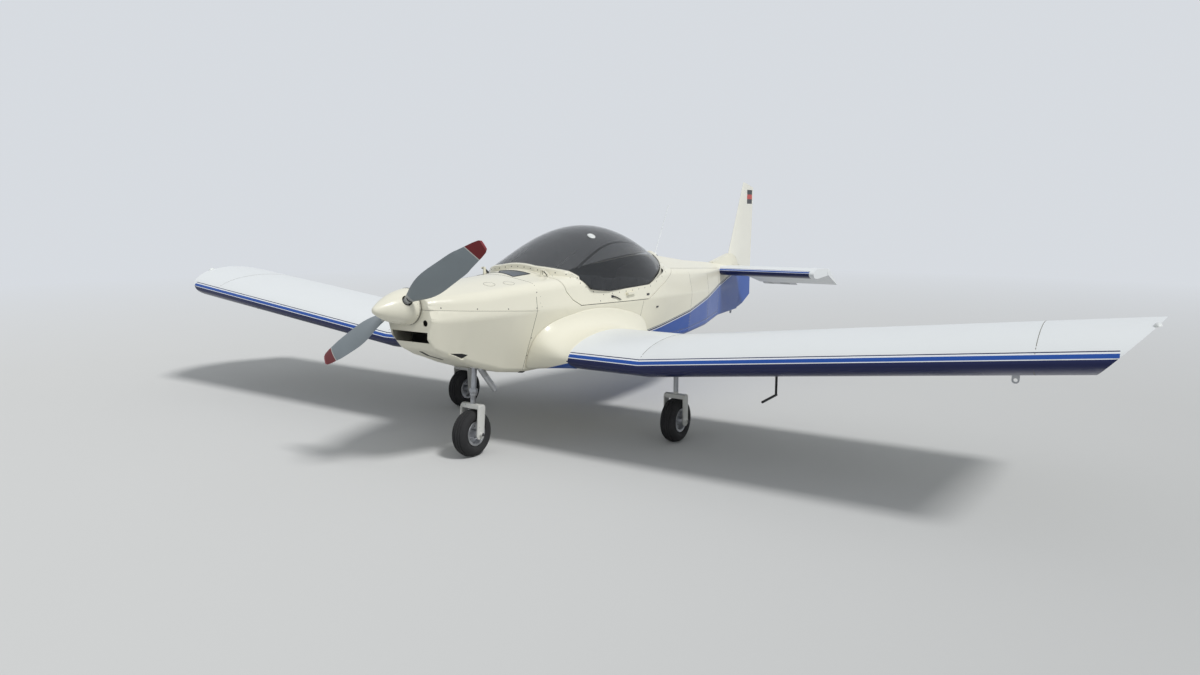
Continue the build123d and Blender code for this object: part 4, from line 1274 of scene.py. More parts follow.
def dome(work: Work, contact: Contact, radius: float, rise: float, squeeze: float = 1.0) -> None:
    """Adds a low closed dome on a surface.

    Args:
        work: The bmesh that takes the dome.
        contact: Point and normal under its middle.
        radius: Its radius.
        rise: Its height.
        squeeze: Share of the radius kept across.
    """
    point, normal = contact
    side = AHEAD - normal * normal.x
    side = side.normalized() if side.length > 0.2 else normal.orthogonal().normalized()
    other = normal.cross(side)
    levels, facets = 6, 28
    rings = []
    for level in range(levels):
        angle = math.pi / 2 * level / levels
        spread, lift = math.cos(angle) * radius, math.sin(angle) * rise
        spokes = (side * math.cos(t) + other * math.sin(t) * squeeze for t in turns(facets))
        rings.append([work.verts.new(point + normal * lift + spoke * spread) for spoke in spokes])
    tip = work.verts.new(point + normal * rise)
    made = [work.faces.new(rings[0])]
    made += bridge(work, rings)
    for i in range(facets):
        made.append(work.faces.new((rings[-1][i], rings[-1][(i + 1) % facets], tip)))
    bmesh.ops.recalc_face_normals(work, faces=made)


# Sub-assemblies


@dataclass
class Fuselage:
    """Cabin, tail cone, lap seams, rivets and the deck vent."""

    seam_size: Pair = (0.0035, 0.0006)
    seam_pitch: float = 0.020
    rivet_pitch: float = 0.028
    rivet_drop: float = 0.012
    frames: tuple[tuple[float, float, float, float], ...] = (
        (-1.295, 0.75, 1.007, 0.014),
        (-2.370, 0.62, 1.17, 0.013),
        (-3.050, 0.62, 1.13, 0.013),
        (-3.660, 0.63, 1.10, 0.013),
    )
    longeron: Line = ((-1.81, 1.245), (-3.665, 1.126))
    chine: Line = ((-1.60, 0.645), (-3.60, 0.655))
    deck_vent: Line = ((-0.190, -0.105), (-0.085, -0.030), (-0.019, 0.156), (-0.190, 0.176))
    vent_rim: Pair = (0.011, 0.0022)
    deck_strip: Line = ((-0.098, -0.045), (-0.050, -0.215))
    strip_size: Pair = (0.007, 0.0018)

    def build(self) -> None:
        """Dresses the CAD skins and lays seams, rivets and the deck vent."""
        dress("fuselage_cabin", CREAM_SKIN, Body.AIRFRAME, Slot.CREAM_PAINT, lining=CABIN_LINING)
        dress("fuselage_tail", CREAM_SKIN, Body.AIRFRAME, Slot.CREAM_PAINT)
        dress("dorsal_fin", CREAM_LAMINATE, Body.AIRFRAME, Slot.CREAM_COMPOSITE)
        skin = Skin("fuselage_cabin", "fuselage_tail")
        self._seams(skin)
        self._vent(skin)

    def _seams(self, skin: Skin) -> None:
        """Lays the lap seams of the sheets and sets the rivet rows beside them.

        Args:
            skin: Surface of the cabin and the tail cone.
        """
        lines: list[Line] = [self.longeron, self.chine]
        rows: list[Line] = [tuple((x, z - self.rivet_drop) for x, z in line) for line in lines]
        for x, low, high, offset in self.frames:
            lines.append(((x, low), (x, high)))
            rows += [((x + shift, low), (x + shift, high)) for shift in (-offset, offset)]
        work = bmesh.new()
        rivets: list[Contact] = []
        for side in SIDES:
            for line in lines:
                ribbon(work, skin.side_row(spaced(line, self.seam_pitch), side), *self.seam_size)
            for row in rows:
                rivets += skin.side_row(spaced(row, self.rivet_pitch), side)
        hand_over(from_bmesh("fuselage_seams", work, SEAM_DIRT), Body.AIRFRAME, Slot.CREAM_PAINT)
        fasteners("fuselage_rivets", rivets, Head.RIVET, Body.AIRFRAME, Slot.CREAM_PAINT, CREAM_LAMINATE)

    def _vent(self, skin: Skin) -> None:
        """Lays the dark vent panel on the deck ahead of the windscreen, inside its black rim.

        Args:
            skin: Surface of the cabin.
        """
        panel, rim = bmesh.new(), bmesh.new()
        patch(panel, self.deck_vent, skin.from_above, 12, 0.0010)
        hand_over(from_bmesh("deck_vent", panel, VENT_PANEL), Body.AIRFRAME, Slot.DARK_PLASTIC)
        outline = [*self.deck_vent, self.deck_vent[0]]
        ribbon(rim, laid(spaced(outline, 0.008), skin.from_above), *self.vent_rim)
        ribbon(rim, laid(spaced(self.deck_strip, 0.02), skin.from_above), *self.strip_size)
        hand_over(from_bmesh("deck_vent_rim", rim, BLACK_RUBBER_AND_OPENING_SHADE), Body.AIRFRAME, Slot.DARK_PLASTIC)


@dataclass
class Cowling:
    """Engine cowls with their screws, doors, scoops and belly slot, whose dark mouths are painted shade, and what
    shows through their openings.
    """

    seam_x: float = 0.020
    seam_z: Pair = (0.615, 1.150)
    seam_size: Pair = (0.004, 0.0007)
    top_seam_x: float = 0.004
    top_seam_y: float = 0.385
    top_seam_size: Pair = (0.003, 0.0007)
    seam_pitch: float = 0.020
    side_screws: Line = (
        (0.782, 1.135),
        (0.542, 1.110),
        (0.288, 1.088),
        (0.025, 1.070),
        (0.012, 0.851),
        (0.012, 0.720),
        (0.012, 1.180),
    )
    cabin_rivets: Line = ((-0.027, 1.076), (-0.014, 1.103), (-0.020, 1.149), (-0.064, 0.860))
    doors: Line = ((0.296, 0.198), (0.156, 0.256))
    door_radius: float = 0.040
    door_rise: float = 0.0022
    door_seam: Pair = (0.0025, 0.0008)
    scoop: Line = ((0.686, 0.822), (0.600, 0.812), (0.552, 0.797), (0.588, 0.778))
    scoop_lip: Line = ((0.694, 0.820), (0.640, 0.797), (0.592, 0.770), (0.574, 0.770))
    lip_size: Pair = (0.013, 0.0065)
    belly_slot: Line = ((0.770, 0.0), (0.572, 0.0))
    slot_size: Pair = (0.034, 0.0016)
    corner_fitting: Pair = (0.004, 0.232)
    corner_size: Triple = (0.050, 0.022, 0.004)

    def build(self) -> None:
        """Dresses the cowls, the engine and the exhaust, and lays the small parts on them."""
        for node in ("cowl_upper", "cowl_lower"):
            dress(node, CREAM_LAMINATE, Body.AIRFRAME, Slot.CREAM_COMPOSITE, 40.0)
        dress("engine_block", CASTING, Body.AIRFRAME, Slot.ENGINE_METAL)
        dress("exhaust_pipe", ALUMINIUM, Body.AIRFRAME, Slot.STEEL)
        dress("bulkheads", ALUMINIUM, Body.AIRFRAME, Slot.BARE_ALUMINIUM)
        skin = Skin("cowl_upper", "cowl_lower", "fuselage_cabin")
        self._screws(skin)
        self._doors(skin)
        self._openings(skin)
        self._rear_seam(skin)

    def _rear_seam(self, skin: Skin) -> None:
        """Lays the seam where the cowls end, up both sides and over the top.

        Args:
            skin: Surface of the cowls and the cabin.
        """
        work = bmesh.new()
        for side in SIDES:
            points = [(self.seam_x, z) for z in steps(*self.seam_z, self.seam_pitch)]
            ribbon(work, skin.side_row(points, side), *self.seam_size)
        top = [(self.top_seam_x, y) for y in steps(-self.top_seam_y, self.top_seam_y, self.seam_pitch)]
        ribbon(work, laid(top, skin.from_above), *self.top_seam_size)
        hand_over(from_bmesh("cowl_rear_seam", work, SEAM_DIRT), Body.AIRFRAME, Slot.DARK_PLASTIC)

    def _screws(self, skin: Skin) -> None:
        """Sets the cowl screws and the few rivets behind the firewall seam.

        Args:
            skin: Surface of the cowls and the cabin.
        """
        screws, rivets = (
            [contact for side in SIDES for contact in skin.side_row(points, side)]
            for points in (self.side_screws, self.cabin_rivets)
        )
        fasteners("cowl_screws", screws, Head.SCREW, Body.AIRFRAME, Slot.STEEL)
        fasteners("cowl_edge_rivets", rivets, Head.RIVET, Body.AIRFRAME, Slot.STEEL)

    def _doors(self, skin: Skin) -> None:
        """Lays the two round inspection doors on each side of the top cowl, each with its seam.

        Args:
            skin: Surface of the cowls.
        """
        lids, seams = bmesh.new(), bmesh.new()
        for side in SIDES:
            for x, y in self.doors:
                dome(lids, sure(skin.from_above(x, side * y)), self.door_radius, self.door_rise)
                reach = [(math.cos(t) * self.door_radius, math.sin(t) * self.door_radius) for t in turns(40)]
                circle = [(x + along, side * y + across) for along, across in reach + reach[:1]]
                ribbon(seams, laid(circle, skin.from_above), *self.door_seam)
        hand_over(from_bmesh("cowl_doors", lids, CREAM_LAMINATE), Body.AIRFRAME, Slot.CREAM_COMPOSITE)
        hand_over(from_bmesh("cowl_door_seams", seams, SEAM_DIRT), Body.AIRFRAME, Slot.DARK_PLASTIC)

    def _openings(self, skin: Skin) -> None:
        """Lays the side scoops with their lips, the belly slot and the corner fittings; the dark scoop patches
        and the slot's bead are painted shade standing for their open mouths.

        Args:
            skin: Surface of the cowls and the cabin.
        """
        dark, lips = bmesh.new(), bmesh.new()
        for side in SIDES:
            # Painted shade: a near-black patch on the skin stands for the shaded inside of the scoop's mouth.
            patch(dark, self.scoop, partial(skin.from_side, side=side), 10, 0.0012)
            ribbon(lips, skin.side_row(spaced(self.scoop_lip, 0.008), side), *self.lip_size)
            x, y = self.corner_fitting
            plate(dark, sure(skin.from_below(x, side * y)), AHEAD, *self.corner_size)
        # Painted shade: a near-black flat bead on the belly stands for the shaded inside of the slot.
        ribbon(dark, laid(spaced(self.belly_slot, 0.015), skin.from_below), *self.slot_size)
        hand_over(from_bmesh("cowl_opening_shade_and_fittings", dark, BLACK_RUBBER_AND_OPENING_SHADE), Body.AIRFRAME, Slot.DARK_PLASTIC)
        hand_over(from_bmesh("scoop_lips", lips, CREAM_LAMINATE), Body.AIRFRAME, Slot.CREAM_COMPOSITE)


class Approach(Enum):
    """How a row of the fillet finds the wing: at a height from the front, or at a station."""

    FRONT = "front"
    ABOVE = "above"
    BELOW = "below"


@dataclass
class WingFillet:
    """Smooth fillets from the cabin's sides down onto the wing roots, each with a flange on the wing.

    A row gives its station and height on the cabin's side, then its height or station on the wing.
    """

    edge_y: float = 0.600
    flange: float = 0.040
    flange_lifts: Line = ((0.5, 0.003), (1.0, 0.0026), (1.03, -0.002))
    columns: int = 14
    wall: float = 0.003
    blend: float = 0.15
    under_row: Triple = (-0.150, 0.604, -0.120)
    front_rows: Rows = (
        (0.000, 0.612, 0.655),
        (0.008, 0.680, 0.685),
        (0.008, 0.750, 0.714),
        (-0.008, 0.830, 0.745),
    )
    upper_rows: Rows = (
        (-0.055, 0.892, -0.055),
        (-0.130, 0.940, -0.120),
        (-0.240, 0.975, -0.220),
        (-0.369, 0.995, -0.360),
        (-0.487, 1.012, -0.487),
        (-0.620, 1.015, -0.620),
        (-0.783, 1.003, -0.783),
        (-0.920, 0.978, -0.920),
        (-1.054, 0.948, -1.054),
        (-1.180, 0.915, -1.180),
        (-1.302, 0.880, -1.302),
        (-1.400, 0.820, -1.400),
        (-1.450, 0.745, -1.450),
    )

    def build(self) -> None:
        """Makes the fillets of both sides."""
        work = bmesh.new()
        cabin, wing = Skin("fuselage_cabin", "cowl_lower"), Skin("wing_roots")
        rows = [(Approach.BELOW, self.under_row)]
        rows += [(Approach.FRONT, row) for row in self.front_rows]
        rows += [(Approach.ABOVE, row) for row in self.upper_rows]
        for side in SIDES:
            sheet(work, [self._row(cabin, wing, side, kind, *row) for kind, row in rows], side < 0)
        piece = from_bmesh("wing_fillets", work, FAIRING_SKIN, 60.0)
        finer = piece.modifiers.new("finer", "SUBSURF")
        finer.levels = finer.render_levels = 1
        hand_over(walled(piece, self.wall), Body.AIRFRAME, Slot.CREAM_COMPOSITE, "wing_fairings")

    def _on_wing(self, wing: Skin, y: float, kind: Approach, value: float) -> Contact:
        """The wing's contact at a distance aside.

        Args:
            wing: The wing root's surface.
            y: Distance to port.
            kind: How the wing's point is found.
            value: Its height or station.

        Returns:
            Point and normal.
        """
        if kind is Approach.FRONT:
            return sure(wing.hit(at(0.3, y, value), -AHEAD))
        cast = wing.from_above if kind is Approach.ABOVE else wing.from_below
        return sure(cast(value, y))

    def _row(
        self, cabin: Skin, wing: Skin, side: int, kind: Approach, x: float, z: float, value: float
    ) -> list[Vector]:
        """One row of the fillet, from the cabin's side to the flange's outer edge.

        Args:
            cabin: The cabin's surface.
            wing: The wing root's surface.
            side: 1 for port, -1 for starboard.
            kind: How the wing's point is found.
            x: Station on the cabin's side.
            z: Height on the cabin's side.
            value: Height or station on the wing.

        Returns:
            The row's points.
        """
        start = sure(cabin.from_side(x, z, side))
        first = start[0] + start[1] * 0.001
        end, normal = self._on_wing(wing, side * self.edge_y, kind, value)
        end = end + normal * 0.003
        share = 0.0
        if kind is Approach.ABOVE:
            share = min(1.0, 0.5 + 0.5 * (self.upper_rows[0][0] - x) / self.blend)
        hollow_y = first.y + 0.12 * (end.y - first.y)
        corner = Vector(((first.x + end.x) / 2, hollow_y, end.z + 0.08 * (first.z - end.z)))
        middle = (first + end) / 2 + Vector((0.004, 0, 0))
        control = middle.lerp(corner, share)
        row = []
        for index in range(self.columns + 1):
            u = index / self.columns
            row.append(first * (1 - u) ** 2 + control * (2 * u * (1 - u)) + end * u**2)
        for reach, lift in self.flange_lifts:
            point, normal = self._on_wing(wing, side * (self.edge_y + self.flange * reach), kind, value)
            row.append(point + normal * lift)
        return row


@dataclass
class MainWing:
    """Wing roots, outer panels, tips, ailerons and fillets, with their seams and lamps."""

    seam_y: float = 1.197
    tip_seam_y: float = 3.508
    seam_x: Pair = (-1.44, -0.03)
    seam_size: Pair = (0.004, 0.0005)
    seam_rivets_x: Pair = (-1.40, -0.05)
    seam_rivet_offset: float = 0.014
    chord_pitch: float = 0.03
    rib_stations: tuple[float, ...] = (1.32, 1.60, 1.884, 2.17, 2.453, 2.73, 2.999, 3.27)
    rib_x: Pair = (-1.07, -0.07)
    spar_stations: tuple[float, ...] = (-0.42, -1.06)
    spar_y: Pair = (1.25, 3.46)
    aileron_ribs_x: Pair = (-1.44, -1.16)
    aileron_spar_x: float = -1.15
    aileron_spar_y: Pair = (1.98, 3.42)
    rivet_pitch: float = 0.036
    leg_socket: Triple = (-0.798, 1.073, 0.052)
    lamp: Pair = (-0.300, 4.020)
    lamp_size: Triple = (0.030, 0.016, 0.6)

    def build(self) -> None:
        """Dresses every wing node and lays seams, rivets, leg sockets and lamps."""
        for node in ("wing_roots", "wing_port", "wing_starboard"):
            dress(node, WING_SKIN, Body.AIRFRAME, Slot.WHITE_PAINT)
        dress("wing_tips", WING_SKIN, Body.AIRFRAME, Slot.WHITE_COMPOSITE)
        WingFillet().build()
        ailerons = (Body.PORT_AILERON, Body.STARBOARD_AILERON)
        for body in ailerons:
            dress(body.value, PLAIN_WHITE, body, Slot.WHITE_PAINT)
        skin = Skin("wing_roots", "wing_port", "wing_starboard", "wing_tips")
        self._seams(skin)
        self._rivets(skin)
        self._fittings(skin)
        for side, body in zip(SIDES, ailerons):
            self._aileron_rivets(side, body)

    def _seams(self, skin: Skin) -> None:
        """Lays the chordwise seams at the roots and the tips, above and below.

        Args:
            skin: The wing's surface.
        """
        work = bmesh.new()
        for side in SIDES:
            for y in (self.seam_y, self.tip_seam_y):
                points = [(x, side * y) for x in steps(*self.seam_x, self.chord_pitch)]
                for cast in (skin.from_above, skin.from_below):
                    ribbon(work, laid(points, cast), *self.seam_size)
        hand_over(from_bmesh("wing_seams", work, SEAM_DIRT), Body.AIRFRAME, Slot.WHITE_PAINT)

    def _rivets(self, skin: Skin) -> None:
        """Sets the rivets of ribs, spars and seams.

        Args:
            skin: The wing's surface.
        """
        ribs, spars = steps(*self.rib_x, self.rivet_pitch), steps(*self.spar_y, self.rivet_pitch)
        seams = (self.seam_y + self.seam_rivet_offset, self.tip_seam_y - self.seam_rivet_offset)
        rows: list[Contact] = []
        for side in SIDES:
            lines = [[(x, side * y) for x in ribs] for y in self.rib_stations]
            lines += [[(x, side * y) for y in spars] for x in self.spar_stations]
            for line in lines:
                rows += laid(line, skin.from_above) + laid(line, skin.from_below)
            for y in seams:
                rows += skin.top_row(((x, y) for x in steps(*self.seam_rivets_x, self.chord_pitch)), side)
        fasteners("wing_rivets", rows, Head.RIVET, Body.AIRFRAME, Slot.WHITE_PAINT, PLAIN_WHITE)

    def _aileron_rivets(self, side: int, body: Body) -> None:
        """Sets the rivets of one aileron's ribs and spar.

        Args:
            side: 1 for port, -1 for starboard.
            body: The aileron's body.
        """
        skin = Skin(body.value)
        rows: list[Contact] = []
        for y in self.rib_stations[3:]:
            rows += skin.top_row(((x, y) for x in steps(*self.aileron_ribs_x, self.rivet_pitch)), side)
        spar = steps(*self.aileron_spar_y, self.rivet_pitch)
        rows += skin.top_row(((self.aileron_spar_x, y) for y in spar), side)
        fasteners(f"{body.value}_rivets", rows, Head.RIVET, body, Slot.WHITE_PAINT, PLAIN_WHITE)

    def _fittings(self, skin: Skin) -> None:
        """Sets the shallow sockets where the legs enter the wing, and the tip lamps.

        Args:
            skin: The wing's surface.
        """
        sockets, lamps = bmesh.new(), bmesh.new()
        x, y, radius = self.leg_socket
        for side in SIDES:
            dome(sockets, sure(skin.from_below(x, side * y)), radius, 0.016)
            dome(lamps, sure(skin.from_above(self.lamp[0], side * self.lamp[1])), *self.lamp_size)
        hand_over(from_bmesh("leg_sockets", sockets, PLAIN_WHITE), Body.AIRFRAME, Slot.WHITE_PAINT)
        hand_over(from_bmesh("tip_lamps", lamps, CLEAR_LENS_AND_GLINT), Body.AIRFRAME, Slot.DARK_PLASTIC)


@dataclass
class Tail:
    """Tailplane, elevator with its tab, rudder and fin."""

    rivet_pitch: float = 0.034
    plane_ribs: tuple[float, ...] = (0.26, 0.48, 0.70, 0.92, 1.09)
    plane_x: Pair = (-4.18, -3.79)
    elevator_x: Pair = (-4.50, -4.30)
    spar_x: float = -4.17
    spar_y: Pair = (0.16, 1.09)
    rudder_levels: tuple[float, ...] = (1.20, 1.42, 1.64, 1.86, 2.00)
    rudder_x: Pair = (-4.82, -4.50)

    def build(self) -> None:
        """Dresses the tail surfaces and sets their rivets."""
        dress("stabilizer", TAILPLANE_SKIN, Body.AIRFRAME, Slot.WHITE_PAINT)
        dress("stabilizer_caps", PLAIN_WHITE, Body.AIRFRAME, Slot.WHITE_COMPOSITE)
        dress("elevator", PLAIN_WHITE, Body.ELEVATOR, Slot.WHITE_PAINT)
        dress("elevator_caps", PLAIN_WHITE, Body.ELEVATOR, Slot.WHITE_COMPOSITE)
        dress("trim_tab", ALUMINIUM, Body.ELEVATOR, Slot.WHITE_PAINT)
        dress("rudder", RUDDER_SKIN, Body.RUDDER, Slot.CREAM_PAINT)
        dress("rudder_cap", RUDDER_SKIN, Body.RUDDER, Slot.WHITE_COMPOSITE)
        self._rivets()

    def _rivets(self) -> None:
        """Sets the rows of the ribs on the tailplane, the elevator and the rudder."""
        plane, flap, fin = Skin("stabilizer"), Skin("elevator"), Skin("rudder")
        along_plane, along_flap, along_spar, along_fin = (
            steps(*span, self.rivet_pitch) for span in (self.plane_x, self.elevator_x, self.spar_y, self.rudder_x)
        )
        fixed: list[Contact] = []
        moving: list[Contact] = []
        turning: list[Contact] = []
        for side in SIDES:
            for y in self.plane_ribs:
                fixed += plane.top_row(((x, y) for x in along_plane), side)
                moving += flap.top_row(((x, y) for x in along_flap), side)
            fixed += plane.top_row(((self.spar_x, y) for y in along_spar), side)
            for z in self.rudder_levels:
                turning += fin.side_row(((x, z) for x in along_fin), side)
        fasteners("tailplane_rivets", fixed, Head.RIVET, Body.AIRFRAME, Slot.WHITE_PAINT, PLAIN_WHITE)
        fasteners("elevator_rivets", moving, Head.RIVET, Body.ELEVATOR, Slot.WHITE_PAINT, PLAIN_WHITE)
        fasteners("rudder_rivets", turning, Head.RIVET, Body.RUDDER, Slot.CREAM_PAINT, RUDDER_SKIN)


@dataclass
class Canopy:
    """Bubble, its frame with screws and seal, hinges, latches, lever, strut and vent; the vent's pale lens is
    partly a painted highlight for the sun glint on the crown.
    """

    corner_screws: Line = ((-0.300, 0.300), (-0.404, 0.311))
    side_screws: Line = (
        (-0.390, 1.256),
        (-0.440, 1.215),
        (-0.495, 1.182),
        (-0.583, 1.140),
        (-0.710, 1.109),
        (-0.825, 1.108),
        (-0.922, 1.109),
        (-1.014, 1.110),
        (-1.106, 1.111),
        (-1.212, 1.112),
        (-1.317, 1.114),
        (-1.420, 1.120),
        (-1.530, 1.153),
        (-1.640, 1.186),
        (-1.750, 1.219),
        (-1.860, 1.252),
        (-1.970, 1.285),
        (-0.665, 1.063),
    )
    seal_line: Line = (
        (-0.345, 1.310),
        (-0.400, 1.292),
        (-0.547, 1.162),
        (-0.640, 1.148),
        (-0.767, 1.133),
        (-1.410, 1.137),
        (-1.480, 1.160),
        (-2.150, 1.342),
    )
    seal_size: Pair = (0.006, 0.0012)
    lever: Line = ((-0.822, 1.084), (-0.852, 1.079), (-0.880, 1.070), (-0.929, 1.050))
    lever_radii: tuple[float, ...] = (0.0055, 0.0050, 0.0045, 0.0038)
    lever_lift: float = 0.007
    lever_foot: Triple = (0.026, 0.020, 0.004)
    latch: Pair = (-1.365, 1.056)
    latch_size: Triple = (0.040, 0.016, 0.006)
    rear_latch: Pair = (-1.563, 0.929)
    rear_latch_size: Triple = (0.034, 0.014, 0.005)
    strut: Rows = ((-0.352, 0.256, 1.292), (-0.380, 0.250, 1.304), (-0.700, 0.245, 1.436))
    strut_radii: Triple = (0.010, 0.0055, 0.0055)
    # The vent's place on the crown; its pale lens there is partly a painted highlight for the sun glint on the
    # glass.
    vent: Pair = (-0.913, 0.246)
    vent_and_glint_profile: Line = (
        (-0.003, 0.0),
        (-0.003, 0.034),
        (0.003, 0.034),
        (0.006, 0.030),
        (0.006, 0.024),
        (0.003, 0.020),
        (0.003, 0.0),
    )
    front_reach: float = 0.440
    edge_pitch: float = 0.012
    edge_search: Triple = (0.262, 0.620, 0.002)
    foot_reach: float = 0.016
    step_reach: float = 0.004
    front_wall: float = 0.003
    bow_x: float = -1.790
    bow_sweep: float = 0.220
    bow_z: float = 1.120
    bow_inset: float = 0.010
    bow_size: Pair = (0.036, 0.004)

    def build(self) -> None:
        """Dresses glass and frame and sets the small parts on them."""
        dress("canopy_glass", GLASS, Body.CANOPY, Slot.SMOKED_GLASS, 60.0)
        dress("canopy_frame", CREAM_LAMINATE, Body.CANOPY, Slot.CREAM_COMPOSITE, lining=CABIN_LINING)
        dress("canopy_brackets", CREAM_LAMINATE, Body.AIRFRAME, Slot.STEEL)
        dress("canopy_handle", CREAM_LAMINATE, Body.CANOPY, Slot.STEEL, bevel=0.003)
        frame, glass = Skin("canopy_frame"), Skin("canopy_glass")
        self._screws(frame)
        self._seal(Skin("canopy_frame", "canopy_glass"))
        self._latches(frame, Skin("fuselage_cabin"))
        self._strut()
        self._rear_bow(glass)
        self._front_bow(frame, glass)
        # Painted highlight, in part: the pale vent ring on the crown also stands for the bright sun glint on the
        # glass.
        vent = lathe("canopy_vent_and_glint", self.vent_and_glint_profile, *sure(glass.from_above(*self.vent)), CLEAR_LENS_AND_GLINT, 48)
        hand_over(vent, Body.CANOPY, Slot.DARK_PLASTIC)

    def _screws(self, frame: Skin) -> None:
        """Sets the screws round the frame.

        Args:
            frame: The frame's surface.
        """
        screws: list[Contact] = []
        for side in SIDES:
            screws += frame.top_row(self.corner_screws, side) + frame.side_row(self.side_screws, side)
        fasteners("canopy_screws", screws, Head.SCREW, Body.CANOPY, Slot.STEEL)

    def _seal(self, skin: Skin) -> None:
        """Lays the dark seal along the lower edge of the glass.

        Args:
            skin: Surface of frame and glass.
        """
        work = bmesh.new()
        for side in SIDES:
            ribbon(work, skin.side_row(spaced(self.seal_line, 0.02), side), *self.seal_size)
        hand_over(from_bmesh("canopy_seal", work, BLACK_RUBBER_AND_OPENING_SHADE), Body.CANOPY, Slot.DARK_PLASTIC)

    def _latches(self, frame: Skin, cabin: Skin) -> None:
        """Sets the bent lever and the latch on the frame, and the catch on the cabin.

        Args:
            frame: The frame's surface.
            cabin: The cabin's surface.
        """
        work, fixed = bmesh.new(), bmesh.new()
        for side in SIDES:
            path = frame.side_row(self.lever, side)
            tube(work, [point + normal * self.lever_lift for point, normal in path], self.lever_radii, 12)
            plate(work, path[0], AHEAD, *self.lever_foot)
            plate(work, sure(frame.from_side(*self.latch, side)), AHEAD, *self.latch_size)
            plate(fixed, sure(cabin.from_side(*self.rear_latch, side)), AHEAD, *self.rear_latch_size)
        hand_over(from_bmesh("canopy_latches", work, DARK_STEEL), Body.CANOPY, Slot.STEEL)
        hand_over(from_bmesh("cabin_catches", fixed, DARK_STEEL), Body.AIRFRAME, Slot.STEEL)

    def _strut(self) -> None:
        """Makes the thin pale strut inside the windscreen, on both sides."""
        work = bmesh.new()
        for side in SIDES:
            tube(work, [at(x, side * y, z) for x, y, z in self.strut], self.strut_radii, 16)
        hand_over(from_bmesh("windscreen_struts", work, PLAIN_WHITE), Body.CANOPY, Slot.STEEL)

    def _glass_edge(self, glass: Skin) -> list[Vector]:
        """Points along the glass's front edge, seen from above.

        Args:
            glass: The glass's surface.

        Returns:
            The points, from starboard to port.
        """
        edge: list[Vector] = []
        for y in steps(-self.front_reach, self.front_reach, self.edge_pitch):
            row = laid(((-behind, y) for behind in steps(*self.edge_search)), glass.from_above)
            edge += [point for point, _ in row[:1]]
        return edge

    def _front_bow(self, frame: Skin, glass: Skin) -> None:
        """Makes the cream bow that closes the step from the frame up to the glass, with its screws.

        Args:
            frame: The frame's surface.
            glass: The glass's surface.
        """
        edge = self._glass_edge(glass)
        rows: list[list[Vector]] = []
        screws: list[Contact] = []
        for index, point in enumerate(edge):
            before, after = edge[max(0, index - 2)], edge[min(len(edge) - 1, index + 2)]
            tangent = Vector((after.x - before.x, after.y - before.y, 0)).normalized()
            out = Vector((tangent.y, -tangent.x, 0))
            foot, step, inner = (point + out * d for d in (self.foot_reach, self.step_reach, -self.foot_reach))
            low, near = (frame.from_above(spot.x - FIREWALL_X, spot.y) for spot in (foot, step))
            lip = glass.from_above(inner.x - FIREWALL_X, inner.y)
            if low is None or near is None or lip is None:
                continue
            base = near[0] + UP * 0.001
            top = Vector((point.x, point.y, point.z + 0.001)) + out * 0.002
            middle = base.lerp(top, 0.5)
            rows.append([low[0] + UP * 0.0006, base, middle, top, lip[0] + lip[1] * 0.0015])
            if index % 5 == 2:
                screws.append((middle, out.lerp(UP, 0.15).normalized()))
        work = bmesh.new()
        sheet(work, rows)
        piece = walled(from_bmesh("windscreen_bow", work, CREAM_LAMINATE, 50.0), self.front_wall)
        hand_over(piece, Body.CANOPY, Slot.CREAM_COMPOSITE)
        fasteners("windscreen_bow_screws", screws, Head.SCREW, Body.CANOPY, Slot.STEEL)

    def _rear_bow(self, glass: Skin) -> None:
        """Makes the pale bow that stiffens the bubble's rear, just inside the glass.

        Args:
            glass: The glass's surface.
        """
        work = bmesh.new()
        contacts = []
        for angle in steps(0.0, math.pi, math.radians(5)):
            x = self.bow_x + self.bow_sweep * (1 - math.sin(angle)) ** 3
            out = radial(angle)
            found = glass.hit(at(x, 0, self.bow_z) + out * 1.2, -out)
            if found is not None:
                contacts.append((found[0] - found[1] * self.bow_inset, found[1]))
        ribbon(work, contacts, *self.bow_size)
        hand_over(from_bmesh("rear_bow", work, PLAIN_WHITE), Body.CANOPY, Slot.CREAM_COMPOSITE)


@dataclass(frozen=True)
class PadShape:
    """Sizes of one seat pad in its own frame: u along, v across, w out of the seat."""

    name: str
    length: float
    width: float
    depth: float
    taper: float
    crown: float
    channels_across: tuple[float, ...]
    channels_along: tuple[float, ...]


